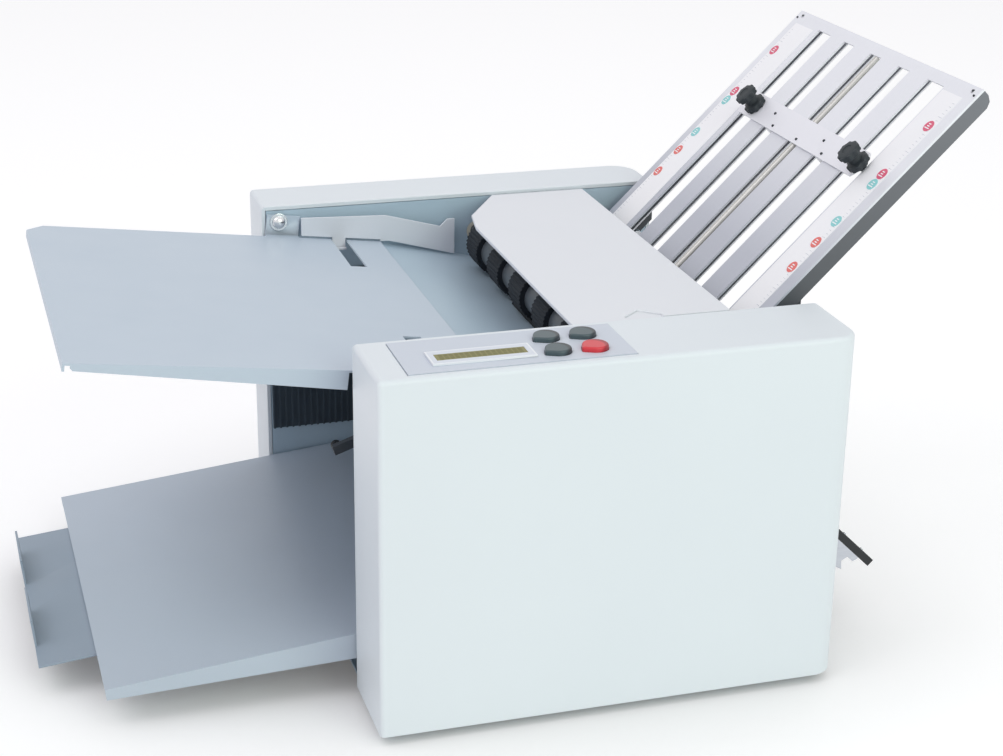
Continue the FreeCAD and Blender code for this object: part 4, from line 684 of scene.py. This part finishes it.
def clamp_knob(node, place, tilt):
    """A spool-shaped knob with fluted rims, a waist and a shallow recess in its head."""
    turn = Matrix.Translation(place) @ plate_turn(tilt)
    discs = [(0, 0, (SEAT + 2.2) * MM), (0, 0, (SEAT + 12.3) * MM)]
    rims = cooked(node + "_grip", FLUTED, discs, turn, knob_black,
                  radius=KNOB_RADIUS * MM, length=4.4 * MM, flutes=9, groove=0.9 * MM)
    softened(rims, 0.7, 3, 40)
    carried(rims, node)
    core = turned_build([
        (0, -12), (2.4, -12), (2.4, SEAT - 0.2), (6.6, SEAT + 0.05), (7.0, SEAT + 4.3), (4.8, SEAT + 5.2),
        (4.6, SEAT + 8.8), (6.8, SEAT + 9.7), (7.1, SEAT + 14.4), (6.4, SEAT + 14.9), (3.8, SEAT + 15.0),
        (3.4, SEAT + 14.4), (0, SEAT + 14.4)])
    core.transform(turn)
    plain_mesh(node + "_core", core, knob_black, node=node, replaced=(node,))


KNOB_PLACES = {
    "upper_knob_rear": (on_upper(81.6, 284.4), UPPER_TILT), "upper_knob_front": (on_upper(81.6, 118.6), UPPER_TILT),
    "lower_knob_rear": (on_lower(88.0, 284.4), LOWER_TILT), "lower_knob_front": (on_lower(88.0, 118.6), LOWER_TILT),
}
for node, (place, tilt) in KNOB_PLACES.items():
    clamp_knob(node, place, tilt)
print("knobs made")

# %% [markdown]
# The outer columns of the upper plate carry white scale strips. A sheet's fold length is read there, so they have a
# row of fine ticks, longer at every fifth and tenth, and coloured dots at the common folds. The ticks are one recipe:
# a line of points, a thin bar on each, and a length that depends on the point's number.

# %% Recipe for scale ticks
def tick_recipe():
    """A row of thin bars along X whose length across Y follows their number."""
    recipe = Recipe("scale_ticks", count="Int", pitch="Float", long="Float", thick="Float")
    row = recipe.node("GeometryNodeMeshLine", {"mode": "OFFSET"}, {
        "Count": recipe.given("count"), "Offset": recipe.vector(recipe.given("pitch"))})
    number = recipe.node("GeometryNodeInputIndex")
    fifth = recipe.maths("LESS_THAN", recipe.maths("MODULO", number, 5.0), 0.5)
    tenth = recipe.maths("LESS_THAN", recipe.maths("MODULO", number, 10.0), 0.5)
    share = recipe.maths("ADD", recipe.maths("MULTIPLY", fifth, 0.25), recipe.maths("MULTIPLY", tenth, 0.25))
    share = recipe.maths("ADD", share, 0.5)
    bar = recipe.node("GeometryNodeMeshCube", {}, {"Size": recipe.vector(
        recipe.given("thick"), recipe.given("long"), recipe.maths("MULTIPLY", recipe.given("thick"), 0.5))})
    rows = recipe.node("GeometryNodeInstanceOnPoints", {}, {
        "Points": row, "Instance": bar, "Scale": recipe.vector(1.0, share, 1.0)})
    copies = recipe.node("GeometryNodeInstanceOnPoints", {}, {"Points": recipe.given("Geometry"), "Instance": rows})
    return recipe.finish(copies)


TICKS = tick_recipe()
print("tick recipe ready")

# %% [markdown]
# Printed marks are ink on a label: the label is smooth and slightly glossy, and the ink matt. Each dot is a coloured
# disc, a few tenths of a millimetre proud, as a sticker is, with small white bars on it. The dots are one recipe too:
# it puts a disc on each point of a mesh, and the points are the places read from the photograph. The bars come from
# the tick recipe, three for each dot.

# %% Label finishes and dot recipe
def printed(name, colour, deep, roughness=0.38):
    """Ink or film on a label, with a little uneven gloss."""
    paint = Finish(name)
    patch = paint.noise(600.0, 4.0)
    paint.set("Base Color", paint.blend(patch, colour, deep))
    paint.set("Roughness", patch * 0.15 + roughness)
    return paint


label_white = printed("label_white", shade(254, 254, 255), shade(250, 250, 253), 0.3)
ink_grey = printed("ink_grey", shade(176, 182, 194), shade(160, 167, 180))
ink_crimson = printed("ink_crimson", shade(214, 58, 98), shade(232, 120, 148))
ink_red = printed("ink_red", shade(226, 88, 84), shade(238, 138, 132))
ink_teal = printed("ink_teal", shade(128, 206, 208), shade(160, 222, 222))


def dot_recipe():
    """A flat disc on each point."""
    recipe = Recipe("scale_dots", radius="Float", thick="Float")
    disc = recipe.node("GeometryNodeMeshCylinder", {"fill_type": "NGON"}, {
        "Vertices": 20, "Radius": recipe.given("radius"), "Depth": recipe.given("thick")})
    dots = recipe.node("GeometryNodeInstanceOnPoints", {}, {"Points": recipe.given("Geometry"), "Instance": disc})
    return recipe.finish(dots)


DOTS = dot_recipe()


# %% Scale strips of the upper plate
STRIP_TOP = 11.0
STRIP_LENGTH = 232.0
STRIP_THICKNESS = 0.2
STRIPS = {"rear": (308.0, 337.0, 332.0, -1), "front": (88.0, 113.0, 93.6, 1)}
FOLD_DOTS = {"crimson": (37.4, 79.4), "teal": (88.4, 121.0), "red": (139.5, 161.3)}
FOLD_INKS = {"crimson": ink_crimson, "teal": ink_teal, "red": ink_red}


def flat_box(low_x, low_y, high_x, high_y, low_z, high_z):
    """A rectangular block in millimetres."""
    build = bmesh.new()
    bmesh.ops.create_cube(build, size=1.0)
    size = Vector((high_x - low_x, high_y - low_y, high_z - low_z)) * MM
    middle = Vector((high_x + low_x, high_y + low_y, high_z + low_z)) * MM / 2
    build.transform(Matrix.Translation(middle) @ Matrix.Diagonal((*size, 1)))
    return build


def scale_strip(side, low_y, high_y, dot_y, inward):
    """One white strip with its ticks and dots, in the plate's own turn."""
    turn = Matrix.Translation(on_upper(STRIP_TOP + STRIP_LENGTH, (low_y + high_y) / 2)) @ plate_turn(UPPER_TILT)
    half = (high_y - low_y) / 2
    strip = flat_box(0, -half, STRIP_LENGTH, half, 0.02, STRIP_THICKNESS)
    strip.transform(turn)
    plain_mesh(f"scale_strip_{side}", strip, label_white, body="machine")
    edge = Matrix.Translation((4 * MM, -inward * (half - 3) * MM, (STRIP_THICKNESS + 0.02) * MM))
    ticks = cooked(f"scale_ticks_{side}", TICKS, [(0, 0, 0)], turn @ edge, ink_grey,
                   count=75, pitch=3.0 * MM, long=5.0 * MM, thick=0.16 * MM)
    carried(ticks, body="machine")
    for word, downs in FOLD_DOTS.items():
        places = [on_upper(down, dot_y) for down in downs]
        back = plate_turn(UPPER_TILT).inverted()
        points = [back @ place for place in places]
        lift = Matrix.Translation(plate_turn(UPPER_TILT) @ Vector((0, 0, (STRIP_THICKNESS + 0.1) * MM)))
        dots = cooked(f"scale_dots_{side}_{word}", DOTS, points, lift @ plate_turn(UPPER_TILT), FOLD_INKS[word],
                      radius=4.3 * MM, thick=0.2 * MM)
        carried(dots, body="machine")
        first = Vector((-1.7, 0, 0.1)) * MM
        marks = cooked(f"scale_marks_{side}_{word}", TICKS, [point + first for point in points],
                       lift @ plate_turn(UPPER_TILT), label_white,
                       count=3, pitch=1.7 * MM, long=5.2 * MM, thick=0.75 * MM)
        carried(marks, body="machine")


for side, strip in STRIPS.items():
    scale_strip(side, *strip)
print("scales printed")

# %% [markdown]
# Small pan-head screws hold the stop strips and the plates' corners. One recipe makes the head: a low cylinder with a
# cone on top and a slot cut by a Mesh Boolean, which is exact here because both shapes are simple and closed.

# %% Recipe for screw heads
def screw_recipe():
    """A slotted pan head on each point."""
    recipe = Recipe("screw_heads", radius="Float", height="Float")
    radius = recipe.given("radius")
    height = recipe.given("height")
    head = recipe.node("GeometryNodeMeshCone", {"fill_type": "NGON"}, {
        "Vertices": 24, "Radius Top": recipe.maths("MULTIPLY", radius, 0.72), "Radius Bottom": radius,
        "Depth": height})
    slot = recipe.node("GeometryNodeMeshCube", {}, {"Size": recipe.vector(
        recipe.maths("MULTIPLY", radius, 3.0), recipe.maths("MULTIPLY", radius, 0.3), height)})
    lifted = recipe.node("GeometryNodeTransform", {}, {
        "Geometry": slot, "Translation": recipe.vector(0.0, 0.0, recipe.maths("MULTIPLY", height, 1.1))})
    cut = recipe.node("GeometryNodeMeshBoolean", {"operation": "DIFFERENCE"}, {0: head, 1: lifted})
    heads = recipe.node("GeometryNodeInstanceOnPoints", {}, {"Points": recipe.given("Geometry"), "Instance": cut})
    return recipe.finish(heads)


SCREWS = screw_recipe()


def screw_heads(name, places, tilt, lift, finish, body, radius, height):
    """Screw heads at places on a sloping face, lifted along its normal."""
    turn = plate_turn(tilt)
    points = [turn.inverted() @ place for place in places]
    up = Matrix.Translation(turn @ Vector((0, 0, lift * MM)))
    heads = cooked(name, SCREWS, points, up @ turn, finish, radius=radius * MM, height=height * MM)
    return carried(shaded(heads), body=body)


screw_dark = turned_steel("screw_dark", shade(70, 72, 78), shade(52, 54, 60), 0.35)
STOP_SCREWS = [on_upper(down, y) for down, y in ((79.6, 255.2), (88.2, 245.0), (88.2, 206.0), (79.6, 176.0),
                                                 (88.2, 166.0))]
screw_heads("stop_screws", STOP_SCREWS, UPPER_TILT, 2.1, screw_dark, "upper_stop", 1.1, 0.8)
CORNER_SCREWS = [on_upper(3.6, 84.8), on_upper(3.6, 337.2), on_upper(6.5, 79.8), on_upper(6.5, 342.2)]
screw_heads("corner_screws", CORNER_SCREWS, UPPER_TILT, 0.0, screw_dark, "machine", 0.9, 0.7)
RAIL_SCREWS = [on_lower(along, y) for along in (24.0, 60.0, 96.0, 121.0, 140.0) for y in (79.8, 342.2)]
screw_heads("rail_screws", RAIL_SCREWS, LOWER_TILT, 13.5, steel, "machine", 1.4, 0.8)
print("screws placed")

# %% [markdown]
# The two studs that hold the tray have bright domed heads on a pale washer, and they catch the light at the left end.
# A true dome needs a smooth profile, so its points are worked out from a circle's rule instead of typed.

# %% Tray studs
STUD_X = -100.43
STUD_Z = 225.0


def tray_stud(inner_y, outward):
    """A washer and a domed head that face the tray, on a shank in the side plate."""
    shank = 9.5
    dome = [(4.7 * math.cos(a), 0.8 + 3.3 * math.sin(a)) for a in (math.pi / 2 * k / 10 for k in range(10))]
    profile = [(0, -shank), (2.0, -shank), (2.0, 0), (6.1, 0), (6.4, 0.15), (6.4, 0.65), (6.1, 0.8)]
    build = turned_build(profile + dome + [(0, 4.1)], 64)
    turn = Matrix.Rotation(math.radians(-90 if outward < 0 else 90), 4, "X")
    build.transform(Matrix.Translation(Vector((STUD_X, inner_y, STUD_Z)) * MM) @ turn)
    return build


stud_mesh = bpy.data.meshes.new("tray_studs_finished")
both = bmesh.new()
for inner_y, outward in ((-137.2, -1), (151.2, 1)):
    one = tray_stud(inner_y, outward)
    one.to_mesh(stud_mesh)
    one.free()
    both.from_mesh(stud_mesh)
plain_mesh("tray_studs_domed", both, chrome, node="tray_studs", replaced=("tray_studs",))
print("studs turned")

# %% [markdown]
# The display is an olive window with one line of character cells behind it. The cells are faintly darker squares in
# an even row, so a small recipe lays them out as a grid of thin tiles.

# %% Display
def cell_recipe():
    """Thin tiles in rows and columns about each point."""
    recipe = Recipe("display_cells", columns="Int", rows="Int", wide="Float", tall="Float")
    tile = recipe.node("GeometryNodeMeshCube", {}, {"Size": recipe.vector(
        recipe.maths("MULTIPLY", recipe.given("wide"), 0.78), recipe.maths("MULTIPLY", recipe.given("tall"), 0.84),
        0.00004)})
    line = recipe.node("GeometryNodeMeshLine", {"mode": "OFFSET"}, {
        "Count": recipe.given("columns"), "Offset": recipe.vector(recipe.given("wide"))})
    one_row = recipe.node("GeometryNodeInstanceOnPoints", {}, {"Points": line, "Instance": tile})
    stack = recipe.node("GeometryNodeMeshLine", {"mode": "OFFSET"}, {
        "Count": recipe.given("rows"), "Offset": recipe.vector(0.0, recipe.given("tall"))})
    all_rows = recipe.node("GeometryNodeInstanceOnPoints", {}, {"Points": stack, "Instance": one_row})
    copies = recipe.node("GeometryNodeInstanceOnPoints", {}, {
        "Points": recipe.given("Geometry"), "Instance": all_rows})
    return recipe.finish(copies)


display_olive = Finish("display_olive", Coat_Weight=0.2, Coat_Roughness=0.12)
glow = display_olive.noise(30.0, 2.0)
display_olive.set("Base Color", display_olive.blend(glow, shade(126, 120, 32), shade(110, 106, 28)))
display_olive.set("Roughness", display_olive.noise(300.0, 3.0) * 0.1 + 0.3)
cell_olive = printed("cell_olive", shade(106, 101, 26), shade(98, 94, 24), 0.35)
dressed("display_window", display_olive, 0.2)
low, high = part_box("display_window")
cells = cooked("display_cells", cell_recipe(), [(low.x + 3.6 * MM, low.y + 2.9 * MM, high.z + 0.02 * MM)],
               Matrix.Identity(4), cell_olive, columns=16, rows=2, wide=3.2 * MM, tall=4.2 * MM)
carried(cells, body="machine")
print("display lit")

# %% [markdown]
# What is left are sheet-metal and moulded pieces whose shapes are right. They keep their solids' form and get a fine
# bevel and a finish each. The table pairs every piece with its finish and the width of its edges in millimetres.

# %% Fold plate finishes
def along_plate(paint, tilt, start):
    """How far a point lies from a plate's start, up the slope and square to it."""
    across_x = paint.axis("X") - start.x
    up_z = paint.axis("Z") - start.z
    return across_x * math.cos(tilt) + up_z * math.sin(tilt), up_z * math.cos(tilt) - across_x * math.sin(tilt)


def upper_plate_finish():
    """Pale brushed face with painted shade that deepens down the slope, and a flange under it painted dark as shade.
    """
    paint = Finish("upper_plate_paint")
    lines = paint.noise(1.0, 4.0, paint.turned(UPPER_TILT, (14.0, 2600.0, 500.0)))
    cloud = paint.noise(12.0, 3.0)
    along, height = along_plate(paint, UPPER_TILT, UPPER_EDGE)
    # Painted shade: the face darkens from 70 to 170 millimetres down the slope from the top edge.
    painted_shade_down_slope = paint.eased(0.0 - along, 0.07, 0.17)
    under = height < -1.4 * MM
    face = paint.blend(painted_shade_down_slope, shade(242, 243, 248), shade(194, 197, 207))
    face = paint.blend(lines * 0.12 + cloud * 0.06, face, shade(150, 153, 163))
    # Painted shade and dark reflection: the flange is dark and darkens further down the slope.
    rim = paint.blend(paint.eased(0.0 - along, 0.0, 0.24), shade(120, 122, 128), shade(62, 66, 70))
    paint.set("Base Color", paint.blend(under, face, rim))
    paint.set("Metallic", 0.15)
    paint.set("Roughness", lines * 0.18 + 0.36 + under * 0.08)
    paint.relief(lines, 0.05, 0.0001)
    return paint


def lower_plate_finish():
    """Brushed face with pale flanges and black rails above them."""
    paint = Finish("lower_plate_paint")
    lines = paint.noise(1.0, 4.0, paint.turned(LOWER_TILT, (14.0, 2600.0, 500.0)))
    height = along_plate(paint, LOWER_TILT, LOWER_START)[1]
    rail = height > 8.0 * MM
    sheet = paint.blend(lines, shade(214, 215, 223), shade(196, 198, 208))
    paint.set("Base Color", paint.blend(rail, sheet, shade(30, 32, 35)))
    paint.set("Metallic", 0.25 - rail * 0.25)
    paint.set("Roughness", lines * 0.18 + 0.34)
    paint.relief(lines, 0.05, 0.0001)
    return paint


upper_plate_paint = upper_plate_finish()
lower_plate_paint = lower_plate_finish()
print("fold plates painted")

# %% Dressing the rest
board_green = printed("board_green", shade(34, 98, 62), shade(24, 82, 52), 0.35)
supply_metal = brushed("supply_metal", 0.0, shade(196, 198, 202), shade(180, 182, 187), 0.8, 0.35)
FINISHES = {
    "feed_tray": (tray_blue, 0.3), "exit_tray": (exit_blue, 0.3), "exit_extension": (extension_blue, 0.3),
    "rear_side_guide": (guide_lilac, 0.3), "front_side_guide": (guide_lilac, 0.3), "feed_bed": (plate_blue, 0.25),
    "front_side_plate": (plate_blue, 0.3), "rear_side_plate": (plate_blue, 0.3), "base_pan": (plate_blue, 0.3),
    "exit_chute": (plate_blue, 0.2), "ribbed_liner": (liner_black, 0.2), "stacker_arm": (charcoal, 0.4),
    "stacker_wheels": (black_rubber, 0.4), "rubber_feet": (black_rubber, 0.8), "separator_pad": (black_rubber, 0.3),
    "frame_rods": (steel, 0.4), "mounting_pins": (steel, 0.4), "guide_rod": (rod_steel, 0.3),
    "exit_shaft": (steel, 0.3), "feed_shaft": (pulley_grey, 0.3), "exit_idlers": (black_rubber, 0.3),
    "upper_fold_plate": (upper_plate_paint, 0.35), "upper_backing": (upper_face, 0.2),
    "lower_fold_plate": (lower_plate_paint, 0.3), "upper_hook_brackets": (charcoal, 0.3),
    "lower_hook_brackets": (lower_face, 0.3), "upper_stop": (stop_metal, 0.3), "lower_stop": (lower_stop_metal, 0.3),
    "power_inlet": (inlet_black, 0.5), "power_switch": (inlet_black, 0.6), "power_supply": (supply_metal, 0.5),
    "panel_board": (board_green, 0.2), "drive_motor": (charcoal, 0.6), "motor_pulley": (pulley_grey, 0.4),
    "drive_belts": (belt_rubber, 0.2), "shaft_bushes": (gear_plastic, 0.25),
}
for node, (finish, width) in FINISHES.items():
    dressed(node, finish, width)
for number in (1, 2, 3, 4):
    dressed(f"fold_roller_{number}", roller_rubber, 0.4)
    dressed(f"fold_gear_{number}", gear_plastic, 0.15, 1)
print("everything dressed")

# %% [markdown]
# The inlet's bay is bare without its contacts: three flat blades that stand in from the back wall. They are plain
# blocks with rounded tips, made here because they are too small to matter as solids.

# %% Inlet blades
INLET_MIDDLE = Vector((187.77, 170.0, 40.0))
for number, (y, z) in enumerate(((-5.0, -4.0), (5.0, -4.0), (0.0, 5.0))):
    blade = flat_box(-11.8, y - 0.7, -1.5, y + 0.7, z - 2.2, z + 2.2)
    bmesh.ops.bevel(blade, geom=list(blade.edges), offset=0.4 * MM, segments=2, profile=0.5, affect="EDGES")
    blade.transform(Matrix.Translation(INLET_MIDDLE * MM))
    plain_mesh(f"inlet_blade_{number}", blade, chrome, body="machine")
print("inlet fitted")

# %% [markdown]
# The machine stands on a pale floor under plain soft light. The photograph's background is pure white with only a
# soft shadow near the machine. More light would bleach the machine too, so the floor and the sky show white by Light
# Path instead: to the camera, in reflections and through glass, a glow is mixed into the floor's lit colour. An
# Ambient Occlusion node darkens the glow where the machine is close, a painted shadow that deepens the one under it.

# %% Floor and sky
SEEN_BY = ("Is Camera Ray", "Is Glossy Ray", "Is Transmission Ray")
GLOW_STRENGTH = 1.35
GLOW_SHARE = 0.36
SHADOW_REACH = 0.17


def white_floor():
    """A lit floor that shows nearly white, keeps the shadow and adds painted shadow near the machine."""
    floor_paint = Finish("floor_white", 0.9)
    floor_paint.set("Base Color", (0.98, 0.98, 0.98, 1))
    camera_ray, glossy_ray, clear_ray = [floor_paint.node("LightPath", {}, {}, output) for output in SEEN_BY]
    free = floor_paint.node("AmbientOcclusion", {}, {"Distance": SHADOW_REACH}, "AO")
    glow = floor_paint.tree.nodes.new("ShaderNodeEmission")
    glow.inputs["Strength"].default_value = GLOW_STRENGTH
    mix = floor_paint.tree.nodes.new("ShaderNodeMixShader")
    links = floor_paint.tree.links
    # Painted shadow: the glow turns grey-brown where Ambient Occlusion finds the machine close.
    links.new(floor_paint.blend(free, shade(112, 108, 104), shade(255, 255, 255)).socket, glow.inputs["Color"])
    links.new(((camera_ray + glossy_ray + clear_ray) * GLOW_SHARE).socket, mix.inputs[0])
    links.new(floor_paint.shader.outputs[0], mix.inputs[1])
    links.new(glow.outputs[0], mix.inputs[2])
    links.new(mix.outputs[0], floor_paint.tree.nodes["Material Output"].inputs[0])
    return floor_paint


floor_mesh = bpy.data.meshes.new("floor")
floor_mesh.from_pydata([(-12, -8, 0), (12, -8, 0), (12, 16, 0), (-12, 16, 0)], [], [(0, 1, 2, 3)])
floor_mesh.materials.append(white_floor().material)
floor = bpy.data.objects.new("floor", floor_mesh)
bpy.context.scene.collection.objects.link(floor)

sky = bpy.data.worlds.new("sky")
sky.use_nodes = True
sky_links = sky.node_tree.links
background = sky.node_tree.nodes["Background"]
background.inputs["Color"].default_value = (0.97, 0.955, 1.0, 1)
background.inputs["Strength"].default_value = 0.62
seen = sky.node_tree.nodes.new("ShaderNodeBackground")
seen.inputs["Color"].default_value = (1, 1, 1, 1)
ray = sky.node_tree.nodes.new("ShaderNodeLightPath")
choose = sky.node_tree.nodes.new("ShaderNodeMixShader")
shown = ray.outputs[SEEN_BY[0]]
for output in SEEN_BY[1:]:
    adding = sky.node_tree.nodes.new("ShaderNodeMath")
    sky_links.new(shown, adding.inputs[0])
    sky_links.new(ray.outputs[output], adding.inputs[1])
    shown = adding.outputs[0]
sky_links.new(shown, choose.inputs[0])
sky_links.new(background.outputs[0], choose.inputs[1])
sky_links.new(seen.outputs[0], choose.inputs[2])
sky_links.new(choose.outputs[0], sky.node_tree.nodes["World Output"].inputs[0])
bpy.context.scene.world = sky

# %% [markdown]
# Three large lamps shape the machine. A broad, faintly green one in front and to the right lights the front cover,
# which is the brightest face in the photograph and the only minty one. A second above the left end lights the fold
# plate and the covers' left ends, and a weaker one above and behind draws the edges of the plates.

# %% Lamps
def soft_lamp(name, place, aim, size, power, colour):
    """A square area lamp that looks at a point."""
    lamp = bpy.data.lights.new(name, "AREA")
    lamp.size = size
    lamp.energy = power
    lamp.color = colour
    holder = bpy.data.objects.new(name, lamp)
    holder.location = place
    holder.rotation_euler = (Vector(aim) - Vector(place)).to_track_quat("-Z", "Y").to_euler()
    bpy.context.scene.collection.objects.link(holder)


soft_lamp("front_lamp", (0.9, -2.6, 1.5), (0, 0, 0.15), 1.8, 28, (0.86, 1.0, 0.86))
soft_lamp("left_lamp", (-1.6, -0.3, 2.3), (0.1, 0, 0.2), 1.6, 15, (0.97, 0.96, 1.0))
soft_lamp("top_lamp", (0.6, 1.2, 2.4), (0, 0, 0.2), 1.6, 5, (1.0, 0.98, 1.0))
bpy.context.scene.view_settings.view_transform = "Standard"
print("stage set")
